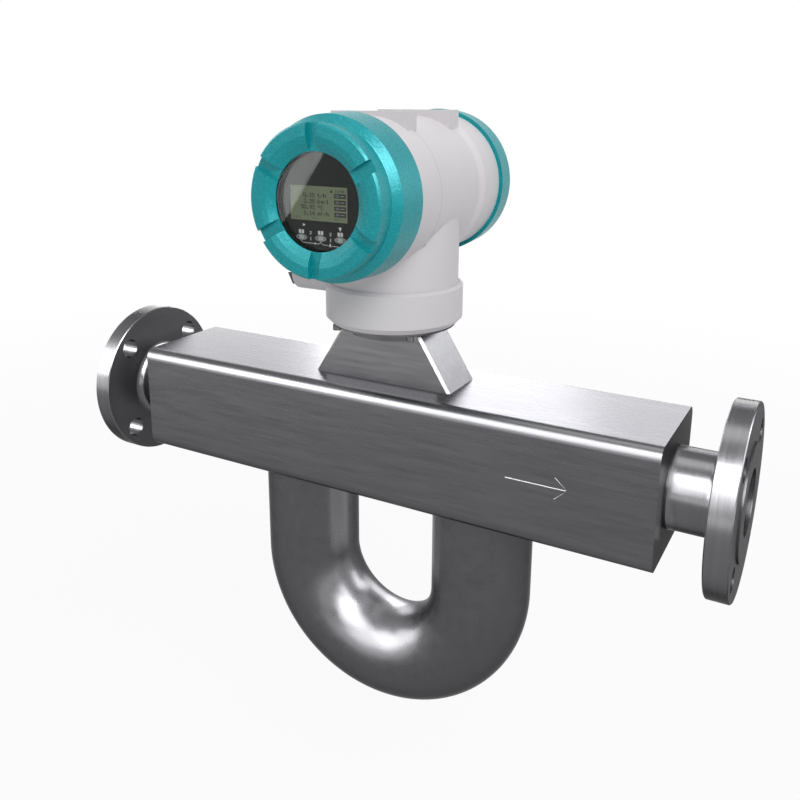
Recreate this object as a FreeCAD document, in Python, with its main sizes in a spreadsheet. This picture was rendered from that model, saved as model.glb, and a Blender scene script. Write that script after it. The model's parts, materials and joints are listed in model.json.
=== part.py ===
import FreeCAD, Part
import math
import os
import Sketcher

# Twin-tube mass flow meter: a box beam between two pipe flanges, a U-shaped loop
# below it with two measuring tubes inside, and a field transmitter on a pedestal.
# X runs with the flow, Z is up, and the origin is the middle of the inlet's face.

FLOW, CROSS, UP = FreeCAD.Vector(1, 0, 0), FreeCAD.Vector(0, 1, 0), FreeCAD.Vector(0, 0, 1)
UNTURNED = FreeCAD.Rotation()
Z_TO_FLOW = FreeCAD.Rotation(CROSS, 90)
Z_AGAINST_FLOW = FreeCAD.Rotation(CROSS, -90)
Z_TO_FRONT = FreeCAD.Rotation(FLOW, 90)
Z_TO_BACK = FreeCAD.Rotation(FLOW, -90)
ROOT_TWO = math.sqrt(2)
FULL_TURN = 360
HALF_TURN = 180

# Driving dimensions in millimetres
SIZES = {
    # Pipe flanges and their necks
    "overall_run": (609, "sealing face to sealing face"),
    "pipe_bore": (52.5, "bore of the flanges and the flow splitters"),
    "flange_od": (152.4, "outside of each flange"),
    "flange_rim": (17.5, "rim thickness without the raised face"),
    "flange_edge": (0.8, "chamfer on the rim's edges"),
    "raised_face_od": (92.1, "outside of the sealing face"),
    "raised_face_step": (1.6, "height of the sealing face"),
    "bolt_circle": (120.65, "pitch circle of the flange holes"),
    "bolt_hole": (19.05, "flange hole"),
    "bolt_count": (4, "holes in each flange"),
    "neck_od": (66, "pipe neck between flange and beam"),
    "neck_fillet": (7, "radius where the neck leaves the flange"),
    # Box beam
    "beam_length": (498, "end plate to end plate, outside"),
    "beam_wide": (111.7, "across the flow"),
    "beam_tall": (100.4, "height"),
    "beam_corner": (9.7, "outside radius of the long edges"),
    "beam_wall": (5, "wall of the box section"),
    "end_plate": (8, "thickness of the end plates"),
    "arrow_start": (131.5, "tail of the flow arrow, from mid length"),
    "arrow_tip": (183, "tip of the flow arrow, from mid length"),
    "arrow_level": (2.8, "height of the flow arrow above the pipe axis"),
    "arrow_barb": (10.5, "length of the arrow's barbs along the flow"),
    "arrow_half": (9, "half height of the arrow's head"),
    "arrow_line": (1.1, "width of the engraved line"),
    "arrow_depth": (0.4, "depth of the engraving"),
    # Loop housing
    "loop_od": (88.9, "outside of the loop's pipe"),
    "loop_wall": (3.2, "wall of the loop's pipe"),
    "leg_offset": (90.6, "each leg's axis from mid length, and the bend's radius"),
    "bend_drop": (138.3, "centre of the bend below the pipe axis"),
    # Measuring tubes
    "tube_od": (25, "outside of a measuring tube"),
    "tube_wall": (1.5, "wall of a measuring tube"),
    "tube_offset": (15, "each tube's axis from the middle plane"),
    "elbow_radius": (38, "bend from the run into the leg"),
    "socket_depth": (12, "tube end inside the splitter"),
    "socket_gap": (0.05, "radial gap round the tube end"),
    "splitter_od": (86, "outside of the flow splitter"),
    "splitter_length": (62, "length of the flow splitter"),
    "manifold_depth": (24, "depth of the splitter's single bore"),
    "brace_thick": (4, "brace bar"),
    "brace_wide": (33, "brace bar along the flow"),
    "brace_long": (63, "brace bar across the flow"),
    "brace_gap": (0.3, "radial gap round a tube in its brace bar"),
    "brace_level": (58, "upper brace bar below the pipe axis"),
    "brace_pitch": (12, "second brace bar below the first"),
    # Drive and pickoffs
    "coil_reach": (24, "coil axis outside the tube's centre line"),
    "coil_od": (18, "coil bobbin"),
    "coil_bore": (12.4, "hole in the coil"),
    "coil_front": (1, "coil's near face behind the middle plane"),
    "magnet_od": (10, "magnet"),
    "magnet_tip": (4, "magnet's tip behind the middle plane"),
    "bracket_near": (9, "bracket's near face from the middle plane"),
    "bracket_thick": (3, "bracket plate"),
    "bracket_edge": (9, "bracket plate beyond the coil's axis"),
    "seat_gap": (0.05, "gap where a flat piece sits on a round one"),
    "sensor_station": (-150, "temperature sensor from mid length"),
    "sensor_long": (16, "temperature sensor block along the tube"),
    "sensor_wide": (14, "temperature sensor block across the tube"),
    "sensor_tall": (8, "temperature sensor block above the tube's crown"),
    # Pedestal and swivel
    "pedestal_foot": (134.8, "length of the pedestal on the beam"),
    "pedestal_lean": (0.625, "how far a side plate leans in for each unit of height"),
    "pedestal_deep": (49.8, "pedestal across the flow"),
    "pedestal_top": (98, "top of the pedestal above the pipe axis"),
    "pedestal_wall": (4, "plate of the pedestal"),
    "pedestal_edge": (2.2, "chamfer on the slanting edges"),
    "collar_seat": (6, "seat of the swivel collar in the pedestal's top"),
    "collar_od": (78, "swivel collar"),
    "collar_bore": (40, "hole for the sensor socket"),
    "collar_flange_od": (88, "flange of the swivel collar inside the cup"),
    "collar_flange": (8, "height of the collar's flange"),
    "swivel_gap": (0.05, "gap round and under the collar's flange"),
    "ring_cord": (2.32, "thickness of the swivel's sealing ring"),
    "clamp_ring_od": (108, "ring that clamps the collar's flange into the cup"),
    "clamp_ring": (2, "thickness of the clamp ring"),
    "clamp_gap": (0.3, "radial gap between collar and clamp ring"),
    "clamp_circle": (103, "pitch circle of the clamp screws"),
    "clamp_head": (7.5, "clamp screw head"),
    "clamp_head_tall": (4.5, "height of a clamp screw head"),
    "clamp_shank": (4, "clamp screw shank"),
    "clamp_grip": (12, "clamp screw above its head"),
    "clamp_count": (4, "clamp screws"),
    "feed_hole": (32, "hole in the beam's roof for the feedthrough"),
    "feed_flange_od": (40, "feedthrough flange"),
    "feed_flange": (3, "feedthrough flange thickness"),
    "feed_pin_od": (1.4, "feedthrough pin"),
    "feed_pin_circle": (5.2, "pitch circle of the pins"),
    "feed_pin_reach": (5, "pins above and below the feedthrough"),
    "feed_pin_count": (6, "feedthrough pins"),
    "harness_od": (8, "wire bundle to the transmitter"),
    "socket_thick": (9, "sensor socket in the swivel collar"),
    "socket_hub_od": (16, "sensor socket's hub"),
    "socket_hub_drop": (6, "sensor socket's hub below its disc"),
    # Transmitter housing
    "head_height": (216.7, "transmitter's lying axis above the pipe axis"),
    "cup_foot": (102, "foot of the cup above the pipe axis"),
    "cup_od": (120.2, "cup over the swivel collar"),
    "cup_tall": (35, "cup's height"),
    "cup_chamfer": (5, "chamfer under the cup"),
    "cup_shoulder": (2.2, "chamfer above the cup"),
    "stem_od": (111.6, "upright stem above the cup"),
    "stem_bore": (64, "cable space in the stem"),
    "body_od": (120.4, "lying body"),
    "collar_band_od": (123, "bands at both ends of the body"),
    "front_seat": (72, "front cover's edge ahead of the swivel axis"),
    "front_band_end": (33, "front band's end ahead of the swivel axis"),
    "rear_band_start": (52, "rear band behind the swivel axis"),
    "rear_ramp": (10, "ramp up to the rear band"),
    "rear_seat": (81.5, "rear cover's edge behind the swivel axis"),
    "spigot_od": (114, "threaded spigot under each cover"),
    "front_spigot": (24.5, "front spigot's length"),
    "rear_spigot": (16.5, "rear spigot's length"),
    "room_od": (104, "compartments inside the body"),
    "partition_near": (33, "partition's face behind the swivel axis"),
    "partition": (6, "wall between the two compartments"),
    "duct_od": (14, "wiring duct through the partition"),
    "duct_side": (34, "wiring duct beside the axis"),
    "duct_drop": (26, "wiring duct below the axis"),
    "lug_half": (35.5, "half length of the two flats on top"),
    "lug_top": (64.7, "top of the flats above the lying axis"),
    "front_lug_start": (-43, "front flat"),
    "front_lug_wide": (15, "front flat"),
    "rear_lug_start": (32, "rear flat"),
    "rear_lug_wide": (17, "rear flat"),
    "entry_od": (32, "cable entry boss"),
    "entry_end": (84, "end of the cable entry bosses from the swivel axis"),
    "entry_offset": (20, "cable entries from the swivel axis, to front and back"),
    "entry_drop": (75.7, "cable entries below the lying axis"),
    "entry_bore": (20, "cable entry bore"),
    "plug_flats": (24, "blanking plug across its flats"),
    "plug_head": (6, "blanking plug head"),
    "plug_grip": (14, "blanking plug inside its bore"),
    "plug_gap": (0.1, "radial gap round the blanking plug"),
    "ground_pad_od": (16, "pad of the earth screw on the cup"),
    "ground_pad_reach": (4, "pad beyond the cup"),
    "ground_level": (18, "earth screw above the cup's foot"),
    "ground_flats": (10, "earth screw across its flats"),
    "ground_head": (5, "earth screw head"),
    "ground_shank": (6, "earth screw shank"),
    "ground_grip": (9, "earth screw inside its pad"),
    # Covers
    "cover_od": (130, "both covers"),
    "cover_draft": (1.2, "how much a cover's radius falls along its side"),
    "front_side": (29, "straight side of the front cover"),
    "rear_side": (20.5, "straight side of the rear cover"),
    "cover_bevel": (5.5, "length of the bevel on both covers"),
    "crown_od": (116, "raised ring on both covers"),
    "crown_edge": (1.6, "chamfer on the raised ring"),
    "front_depth": (51, "front cover's whole depth"),
    "rear_depth": (34, "rear cover's whole depth"),
    "ring_slope_wide": (5, "gentle slope inside the raised ring's face"),
    "ring_slope_drop": (1.2, "how far the gentle slope falls"),
    "dish_wall_wide": (6.3, "steep wall from the gentle slope to the window"),
    "window_reveal": (0.2, "window's edge outside the display's face"),
    "dish_depth": (5, "dish in front of the window, and depth of the notches"),
    "window_lip": (1, "lip that holds the glass"),
    "notch_wide": (10, "notch across the raised ring"),
    "notch_count": (6, "notches on each cover"),
    "rear_dish_od": (90, "dish in the rear cover"),
    "rear_dish": (4, "depth of the rear cover's dish and notches"),
    "thread_gap": (0.05, "radial gap between cover and spigot"),
    "gasket": (1.5, "flat gasket in each cover"),
    "cover_room_od": (100, "inside of each cover ahead of its thread"),
    "front_room": (35.5, "front cover's inner face from its edge"),
    "rear_room": (24, "rear cover's inner face from its edge"),
    "glass_thick": (4, "window glass"),
    "glass_gap": (0.2, "radial gap round the glass"),
    "retainer_reveal": (1, "retaining ring's bore outside the window's edge"),
    "retainer_wide": (3.6, "glass retaining ring"),
    "retainer_thick": (4.5, "glass retaining ring"),
    "lock_screw_od": (4, "cover lock screw"),
    "lock_screw_long": (5, "cover lock screw"),
    "lock_screw_inset": (7, "cover lock screw from the cover's edge"),
    "lock_screw_sink": (1.5, "cover lock screw below the cover's side"),
    # Display and boards in the front compartment
    "display_gap": (0.3, "behind the glass"),
    "key_margin": (0.4, "between the outer keys and the display hood's wall"),
    "display_hood": (1.5, "wall of the display hood"),
    "display_foot_od": (92, "foot of the display hood"),
    "display_foot": (4, "height of the hood's foot"),
    "display_step": (5.2, "straight part behind the display's face"),
    "display_board_level": (99.4, "back of the display board ahead of the swivel axis"),
    "board_thick": (1.6, "circuit boards"),
    "board_od": (97.6, "circuit boards"),
    "screen_wide": (51, "screen"),
    "screen_tall": (26, "screen"),
    "screen_shift": (-1.5, "screen's middle beside the lying axis"),
    "screen_drop": (1.5, "screen's middle below the lying axis"),
    "screen_gap": (0.1, "gap round the screen"),
    "screen_flange": (2, "edge behind the opening"),
    "screen_back": (2.2, "screen behind the hood's front wall"),
    "key_od": (5, "optical key"),
    "key_pitch": (17.5, "optical keys side by side"),
    "key_drop": (27.5, "optical keys below the lying axis"),
    "key_gap": (0.1, "radial gap round a key"),
    "post_od": (5, "posts and spacers between boards"),
    "post_circle": (84, "pitch circle of the posts"),
    "post_count": (4, "posts on each board"),
    "frame_od": (102, "cassette round the boards"),
    "frame_wall": (2, "wall of the cassette"),
    "frame_lip": (5, "cassette beyond its last board"),
    "first_board": (14.4, "input board ahead of the cassette's floor"),
    "board_pitch": (36, "board to board"),
    # Terminals in the rear compartment
    "terminal_post": (5, "terminal board above the partition"),
    "terminal_half": (36, "half length of the terminal block"),
    "terminal_tall": (20, "terminal block's height"),
    "terminal_deep": (18, "terminal block's depth"),
    "terminal_pitch": (9, "terminal to terminal"),
    "terminal_count": (8, "terminals"),
    "terminal_screw_od": (5.2, "terminal screw"),
    "terminal_screw_gap": (0.1, "radial gap round a terminal screw"),
    "terminal_screw_sink": (0.8, "terminal screw below the block's face"),
    "terminal_well": (4, "depth of a terminal's well"),
    "wire_mouth": (6, "square opening for a wire"),
    "wire_mouth_deep": (8, "depth of a wire opening"),
}


class Size:
    """A length: its formula on the sheet beside its present value."""

    def __init__(self, text, value):
        self.text = text
        self.value = value

    def __add__(self, other):
        other = as_size(other)
        return Size(f"({self.text} + {other.text})", self.value + other.value)

    def __sub__(self, other):
        other = as_size(other)
        return Size(f"({self.text} - {other.text})", self.value - other.value)

    def __mul__(self, other):
        other = as_size(other)
        return Size(f"{self.text} * {other.text}", self.value * other.value)

    def __truediv__(self, other):
        other = as_size(other)
        return Size(f"{self.text} / {other.text}", self.value / other.value)

    def __neg__(self):
        return Size(f"(0 - {self.text})", -self.value)

    def root(self):
        return Size(f"sqrt({self.text})", math.sqrt(self.value))


class Sheet:
    """The spreadsheet of driving dimensions, read by alias."""

    def __init__(self, document):
        self.cells = document.addObject("Spreadsheet::Sheet", "sizes")
        for row, (alias, (value, note)) in enumerate(SIZES.items(), start=1):
            self.cells.set(f"A{row}", alias.replace("_", " "))
            self.cells.set(f"B{row}", str(value))
            self.cells.setAlias(f"B{row}", alias)
            self.cells.set(f"C{row}", note)
        document.recompute()

    def __getattr__(self, alias):
        return Size(f"sizes.{alias}", float(self.cells.get(alias)))


def as_size(value):
    """Give a plain number the form of a size."""
    return value if isinstance(value, Size) else Size(f"({value!r})", float(value))


doc = FreeCAD.newDocument("flow_meter")
S = Sheet(doc)
nodes = []
ZERO = as_size(0)


# Sketches and features

def new_body(label):
    """Start a body that becomes one node."""
    body = doc.addObject("PartDesign::Body", label)
    body.Label = label
    nodes.append(body)
    return body


def sketch_on(body, role, start=ZERO):
    """Attach a sketch to one of the body's planes, moved along the plane's normal."""
    plane = next(item for item in body.Origin.OriginFeatures if item.Role == role)
    sketch = body.newObject("Sketcher::SketchObject", f"{body.Name}_sketch")
    sketch.AttachmentSupport = [(plane, "")]
    sketch.MapMode = "FlatFace"
    sketch.AttachmentOffset = FreeCAD.Placement(UP * start.value, UNTURNED)
    sketch.setExpression("AttachmentOffset.Base.z", start.text)
    return sketch


def bind_constraint(sketch, kind, *geometry, size):
    """Add a dimension to the sketch and tie it to the sheet."""
    index = sketch.addConstraint(Sketcher.Constraint(kind, *geometry, size.value))
    sketch.setExpression(f"Constraints[{index}]", size.text)


def pin_point(sketch, geometry, point, x, y):
    """Fix a point of the sketch at the place x, y."""
    bind_constraint(sketch, "DistanceX", geometry, point, size=as_size(x))
    bind_constraint(sketch, "DistanceY", geometry, point, size=as_size(y))


def draw_outline(sketch, points):
    """Draw a closed outline of straight lines through the points."""
    corners = [(as_size(x), as_size(y)) for x, y in points]
    vectors = [FreeCAD.Vector(x.value, y.value, 0) for x, y in corners]
    first = sketch.GeometryCount
    count = len(corners)
    for index in range(count):
        sketch.addGeometry(Part.LineSegment(vectors[index], vectors[(index + 1) % count]))
    for index in range(count):
        following = first + (index + 1) % count
        sketch.addConstraint(Sketcher.Constraint("Coincident", first + index, 2, following, 1))
    for index, (x, y) in enumerate(corners):
        pin_point(sketch, first + index, 1, x, y)


def draw_circle(sketch, diameter, x=ZERO, y=ZERO):
    """Draw a circle of the given diameter about the place x, y."""
    x, y = as_size(x), as_size(y)
    radius = diameter / 2
    centre = FreeCAD.Vector(x.value, y.value, 0)
    index = sketch.addGeometry(Part.Circle(centre, UP, radius.value))
    bind_constraint(sketch, "Radius", index, size=radius)
    pin_point(sketch, index, 3, x, y)


def draw_rectangle(sketch, x_low, x_high, y_low, y_high):
    """Draw a rectangle between two corners."""
    draw_outline(sketch, ((x_low, y_low), (x_high, y_low), (x_high, y_high), (x_low, y_high)))


def draw_hexagon(sketch, flats, x=ZERO, y=ZERO):
    """Draw a hexagon with the given size across its flats."""
    x, y = as_size(x), as_size(y)
    corner = flats / math.sqrt(3)
    angles = [math.radians(60 * step) for step in range(6)]
    draw_outline(sketch, [(x + corner * math.cos(a), y + corner * math.sin(a)) for a in angles])


def add_feature(body, kind, profile, **values):
    """Add a feature of a profile to the body, with its sizes bound to the sheet."""
    feature = body.newObject(f"PartDesign::{kind}", f"{body.Name}_{kind.lower()}")
    feature.Profile = profile
    for name, value in values.items():
        if isinstance(value, Size):
            feature.setExpression(name, value.text)
        else:
            setattr(feature, name, value)
    doc.recompute()
    return feature


def pad(body, sketch, length):
    """Raise the sketch along its normal."""
    return add_feature(body, "Pad", sketch, Length=length)


def pocket(body, sketch, depth):
    """Cut the sketch into the body against its normal."""
    before = body.Shape.Volume
    feature = add_feature(body, "Pocket", sketch, Length=depth)
    if body.Shape.Volume >= before:
        raise ValueError(f"{body.Label}: a pocket cuts nothing")
    return feature


def revolve(body, sketch, axis="V_Axis", angle=FULL_TURN):
    """Turn the sketch about one of its own axes."""
    return add_feature(body, "Revolution", sketch, ReferenceAxis=(sketch, [axis]), Angle=angle)


def groove(body, sketch, axis="V_Axis"):
    """Cut the sketch out of the body all the way round one of its own axes."""
    before = body.Shape.Volume
    feature = add_feature(body, "Groove", sketch, ReferenceAxis=(sketch, [axis]), Angle=FULL_TURN)
    if body.Shape.Volume >= before:
        raise ValueError(f"{body.Label}: a groove cuts nothing")
    return feature


def repeat_round(body, feature, count):
    """Repeat a feature round the body's own Z axis."""
    axis = next(item for item in body.Origin.OriginFeatures if item.Role == "Z_Axis")
    pattern = body.newObject("PartDesign::PolarPattern", f"{body.Name}_pattern")
    pattern.Originals = [feature]
    pattern.Axis = (axis, [""])
    pattern.Angle = FULL_TURN
    pattern.setExpression("Occurrences", count.text)
    body.Tip = pattern
    doc.recompute()
    return pattern


def soften(body, kind, wanted, size):
    """Fillet or chamfer the edges of the body that are wanted."""
    base = body.Tip
    edges = [f"Edge{n}" for n, edge in enumerate(base.Shape.Edges, start=1) if wanted(edge)]
    feature = body.newObject(f"PartDesign::{kind}", f"{body.Name}_{kind.lower()}")
    feature.Base = (base, edges)
    feature.setExpression("Radius" if kind == "Fillet" else "Size", size.text)
    doc.recompute()


def is_circle(radius, level):
    """Choose circles of one radius at one height of the body."""
    def wanted(edge):
        curve = edge.Curve
        return (isinstance(curve, Part.Circle) and abs(curve.Radius - radius.value) < 1e-3
                and abs(curve.Center.z - level.value) < 1e-3)
    return wanted


def is_straight(direction):
    """Choose straight edges that run along one direction."""
    def wanted(edge):
        if not isinstance(edge.Curve, Part.Line):
            return False
        return abs(abs(edge.Curve.Direction.dot(direction)) - 1) < 1e-6
    return wanted


def place(item, x=ZERO, y=ZERO, z=ZERO, turn=UNTURNED):
    """Put an object at its place in the meter and tie the place to the sheet."""
    x, y, z = as_size(x), as_size(y), as_size(z)
    item.Placement = FreeCAD.Placement(FreeCAD.Vector(x.value, y.value, z.value), turn)
    for letter, size in (("x", x), ("y", y), ("z", z)):
        item.setExpression(f"Placement.Base.{letter}", size.text)
    return item


def turned_piece(label, outline, x=ZERO, y=ZERO, z=ZERO, turn=UNTURNED):
    """Make a piece that is turned about its own Z axis from (radius, height) points."""
    body = new_body(label)
    sketch = sketch_on(body, "XZ_Plane")
    draw_outline(sketch, outline)
    revolve(body, sketch)
    place(body, x, y, z, turn)
    return body


# Primitives and their groups

def rod(name, diameter, length, x=ZERO, y=ZERO, z=ZERO, turn=UNTURNED):
    """Make a plain rod that starts at the place and runs along its turned Z axis."""
    item = doc.addObject("Part::Cylinder", name)
    item.setExpression("Radius", (diameter / 2).text)
    item.setExpression("Height", length.text)
    return place(item, x, y, z, turn)


def block(name, long, wide, tall, x, y, z):
    """Make a plain block from its lowest corner."""
    item = doc.addObject("Part::Box", name)
    for side, size in (("Length", long), ("Width", wide), ("Height", tall)):
        item.setExpression(side, size.text)
    return place(item, x, y, z)


def join(kind, label, **members):
    """Make a boolean or a compound of other objects into a node."""
    item = doc.addObject(f"Part::{kind}", label)
    item.Label = label
    for name, value in members.items():
        setattr(item, name, value)
    doc.recompute()
    nodes.append(item)
    return item


# Places that several pieces share

MID = S.overall_run / 2
BEAM_START = MID - S.beam_length / 2
BEAM_END = MID + S.beam_length / 2
BEAM_TOP = S.beam_tall / 2
CUP_FOOT = S.cup_foot
COLLAR_FOOT = S.pedestal_top - S.collar_seat
TUBE_RADIUS = S.tube_od / 2
RUN_REACH = S.beam_length / 2 - S.end_plate - S.splitter_length + S.socket_depth
FRONT_END = S.front_seat + S.front_spigot
REAR_END = S.rear_seat + S.rear_spigot
GLASS_BACK = S.front_seat + S.front_depth - S.dish_depth - S.window_lip - S.glass_thick
DISPLAY_FACE = GLASS_BACK - S.display_gap
KEY_CIRCLE = (S.key_pitch * S.key_pitch + S.key_drop * S.key_drop).root()
DISPLAY_RADIUS = KEY_CIRCLE + S.key_od / 2 + S.key_margin + S.display_hood
WINDOW_RADIUS = DISPLAY_RADIUS + S.window_reveal
RETAINER_RADIUS = WINDOW_RADIUS + S.retainer_reveal
GLASS_RADIUS = RETAINER_RADIUS + S.retainer_wide
STATIONS = {"inlet_pickoff": -1, "drive": 0, "outlet_pickoff": 1}
BOARD_NAMES = ("input_board", "main_board", "output_board")
FRONT, REAR = -1, 1


# Pipe flanges, beam and loop

def make_flange(label, x, turn):
    """Make a flange with its pipe neck, from the sealing face inwards."""
    rim_back = S.raised_face_step + S.flange_rim
    rim = S.flange_od / 2
    edge = S.flange_edge
    flange = turned_piece(label, (
        (S.pipe_bore / 2, ZERO),
        (S.raised_face_od / 2, ZERO),
        (S.raised_face_od / 2, S.raised_face_step),
        (rim - edge, S.raised_face_step),
        (rim, S.raised_face_step + edge),
        (rim, rim_back - edge),
        (rim - edge, rim_back),
        (S.neck_od / 2, rim_back),
        (S.neck_od / 2, BEAM_START),
        (S.pipe_bore / 2, BEAM_START),
    ), x, ZERO, ZERO, turn)
    soften(flange, "Fillet", is_circle(S.neck_od / 2, rim_back), S.neck_fillet)
    hole = sketch_on(flange, "XY_Plane", rim_back)
    diagonal = S.bolt_circle / 2 / ROOT_TWO
    draw_circle(hole, S.bolt_hole, diagonal, diagonal)
    repeat_round(flange, pocket(flange, hole, rim_back), S.bolt_count)


def draw_beam_section(sketch, inset=ZERO):
    """Draw the beam's outline, moved in by the inset."""
    side = S.beam_wide / 2 - inset
    top = S.beam_tall / 2 - inset
    draw_rectangle(sketch, -side, side, -top, top)


def make_end_plate(label, x):
    """Make one end plate of the beam, with the neck's bore."""
    plate = new_body(label)
    outline = sketch_on(plate, "YZ_Plane")
    draw_beam_section(outline)
    pad(plate, outline, S.end_plate)
    soften(plate, "Fillet", is_straight(FLOW), S.beam_corner)
    bore = sketch_on(plate, "YZ_Plane", S.end_plate)
    draw_circle(bore, S.pipe_bore)
    pocket(plate, bore, S.end_plate)
    place(plate, x)


def draw_arrow(sketch):
    """Draw the flow arrow as one closed line of even width."""
    half = S.arrow_line / 2
    level = S.arrow_level
    tip = S.arrow_tip
    barb = tip - S.arrow_barb
    slant = S.arrow_line * ROOT_TWO / 2
    draw_outline(sketch, (
        (S.arrow_start, level - half),
        (tip - slant * 2, level - half),
        (barb - slant, level - S.arrow_half),
        (barb + slant, level - S.arrow_half),
        (tip, level),
        (barb + slant, level + S.arrow_half),
        (barb - slant, level + S.arrow_half),
        (tip - slant * 2, level + half),
        (S.arrow_start, level + half),
    ))


def make_beam():
    """Make the box section between the end plates, open to the loop and the pedestal."""
    beam = new_body("beam_housing")
    inside = S.beam_length / 2 - S.end_plate
    outline = sketch_on(beam, "YZ_Plane", -inside)
    draw_beam_section(outline)
    pad(beam, outline, inside * 2)
    soften(beam, "Fillet", is_straight(FLOW), S.beam_corner)
    hollow = sketch_on(beam, "YZ_Plane", inside)
    draw_beam_section(hollow, S.beam_wall)
    pocket(beam, hollow, inside * 2)
    for side in (-1, 1):
        leg = sketch_on(beam, "XY_Plane", ZERO)
        draw_circle(leg, S.loop_od - S.loop_wall * 2, S.leg_offset * side)
        pocket(beam, leg, S.beam_tall)
    roof = sketch_on(beam, "XY_Plane", S.beam_tall)
    draw_circle(roof, S.feed_hole)
    pocket(beam, roof, S.beam_tall)
    arrow = sketch_on(beam, "XZ_Plane", S.beam_wide / 2)
    draw_arrow(arrow)
    pocket(beam, arrow, S.arrow_depth)
    place(beam, MID)


def make_loop_housing():
    """Make the U-shaped pipe that encloses the measuring tubes."""
    loop = new_body("loop_housing")
    bore = S.loop_od - S.loop_wall * 2
    for side in (1, -1):
        ring = sketch_on(loop, "XY_Plane")
        draw_circle(ring, S.loop_od, S.leg_offset * side)
        draw_circle(ring, bore, S.leg_offset * side)
        if side == 1:
            revolve(loop, ring, angle=HALF_TURN)
        pad(loop, ring, S.bend_drop - BEAM_TOP)
    place(loop, MID, ZERO, -S.bend_drop)


# Measuring tubes

def make_splitter(label, x, turn):
    """Make the block that divides the pipe bore between the two tubes."""
    splitter = turned_piece(label, (
        (ZERO, ZERO),
        (S.splitter_od / 2, ZERO),
        (S.splitter_od / 2, S.splitter_length),
        (ZERO, S.splitter_length),
    ), x, ZERO, ZERO, turn)
    manifold = sketch_on(splitter, "XY_Plane", S.manifold_depth)
    draw_circle(manifold, S.pipe_bore)
    pocket(splitter, manifold, S.manifold_depth)
    seat = sketch_on(splitter, "XY_Plane", S.splitter_length)
    channel = sketch_on(splitter, "XY_Plane", S.splitter_length)
    for side in (FRONT, REAR):
        draw_circle(seat, S.tube_od + S.socket_gap * 2, ZERO, S.tube_offset * side)
        draw_circle(channel, S.tube_od - S.tube_wall * 2, ZERO, S.tube_offset * side)
    pocket(splitter, seat, S.socket_depth)
    pocket(splitter, channel, S.splitter_length)


def draw_tube_path(sketch):
    """Draw a tube's centre line: run, elbow, leg, bend, leg, elbow and run."""
    reach, leg, drop, elbow = (size.value for size in
                               (RUN_REACH, S.leg_offset, S.bend_drop, S.elbow_radius))
    point = FreeCAD.Vector
    quarter = math.pi / 2
    shapes = (
        Part.LineSegment(point(-reach, 0, 0), point(-leg - elbow, 0, 0)),
        Part.ArcOfCircle(Part.Circle(point(-leg - elbow, -elbow, 0), UP, elbow), 0, quarter),
        Part.LineSegment(point(-leg, -elbow, 0), point(-leg, -drop, 0)),
        Part.ArcOfCircle(Part.Circle(point(0, -drop, 0), UP, leg), 2 * quarter, 4 * quarter),
        Part.LineSegment(point(leg, -drop, 0), point(leg, -elbow, 0)),
        Part.ArcOfCircle(Part.Circle(point(leg + elbow, -elbow, 0), UP, elbow), quarter,
                         2 * quarter),
        Part.LineSegment(point(leg + elbow, 0, 0), point(reach, 0, 0)),
    )
    first_run, first_elbow, first_leg, bend, last_leg, last_elbow, last_run = (
        sketch.addGeometry(shape) for shape in shapes)
    start, end, centre = 1, 2, 3
    for joint in ((first_run, end, first_elbow, end), (first_elbow, start, first_leg, start),
                  (first_leg, end, bend, start), (bend, end, last_leg, start),
                  (last_leg, end, last_elbow, end), (last_elbow, start, last_run, start)):
        sketch.addConstraint(Sketcher.Constraint("Tangent", *joint))
    for run in (first_run, last_run):
        sketch.addConstraint(Sketcher.Constraint("Horizontal", run))
    for straight in (first_leg, last_leg):
        sketch.addConstraint(Sketcher.Constraint("Vertical", straight))
    for corner in (first_elbow, last_elbow):
        bind_constraint(sketch, "Radius", corner, size=S.elbow_radius)
    pin_point(sketch, first_run, start, -RUN_REACH, ZERO)
    pin_point(sketch, last_run, end, RUN_REACH, ZERO)
    bind_constraint(sketch, "DistanceX", first_leg, start, size=-S.leg_offset)
    bind_constraint(sketch, "DistanceX", last_leg, start, size=S.leg_offset)
    bind_constraint(sketch, "DistanceY", bend, centre, size=-S.bend_drop)


def make_measuring_tube(label, side):
    """Bend one measuring tube along its centre line."""
    tube = new_body(label)
    path = sketch_on(tube, "XZ_Plane")
    draw_tube_path(path)
    section = sketch_on(tube, "YZ_Plane", -RUN_REACH)
    draw_circle(section, S.tube_od)
    draw_circle(section, S.tube_od - S.tube_wall * 2)
    add_feature(tube, "AdditivePipe", section, Spine=(path, []))
    place(tube, MID, S.tube_offset * side)


def make_brace_bars(label, side):
    """Make the two plates that tie both tubes together on one leg."""
    bars = []
    for step in range(2):
        bar = doc.addObject("PartDesign::Body", f"{label}_{step}")
        outline = sketch_on(bar, "XY_Plane")
        draw_rectangle(outline, -S.brace_wide / 2, S.brace_wide / 2,
                       -S.brace_long / 2, S.brace_long / 2)
        pad(bar, outline, S.brace_thick)
        soften(bar, "Fillet", is_straight(UP), S.brace_wide / 4)
        holes = sketch_on(bar, "XY_Plane", S.brace_thick)
        for tube in (FRONT, REAR):
            draw_circle(holes, S.tube_od + S.brace_gap * 2, ZERO, S.tube_offset * tube)
        pocket(bar, holes, S.brace_thick)
        place(bar, MID + S.leg_offset * side, ZERO, -S.brace_level - S.brace_pitch * step)
        bars.append(bar)
    join("Compound", label, Links=bars)


def station_place(side):
    """Give a station's place outside the loop's centre line, and its outward step."""
    out_x, out_z = (side, 0) if side else (0, -1)
    radius = S.leg_offset
    centre_x = MID + radius * out_x
    centre_z = -S.bend_drop + radius * out_z
    return centre_x, centre_z, out_x, out_z


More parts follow.
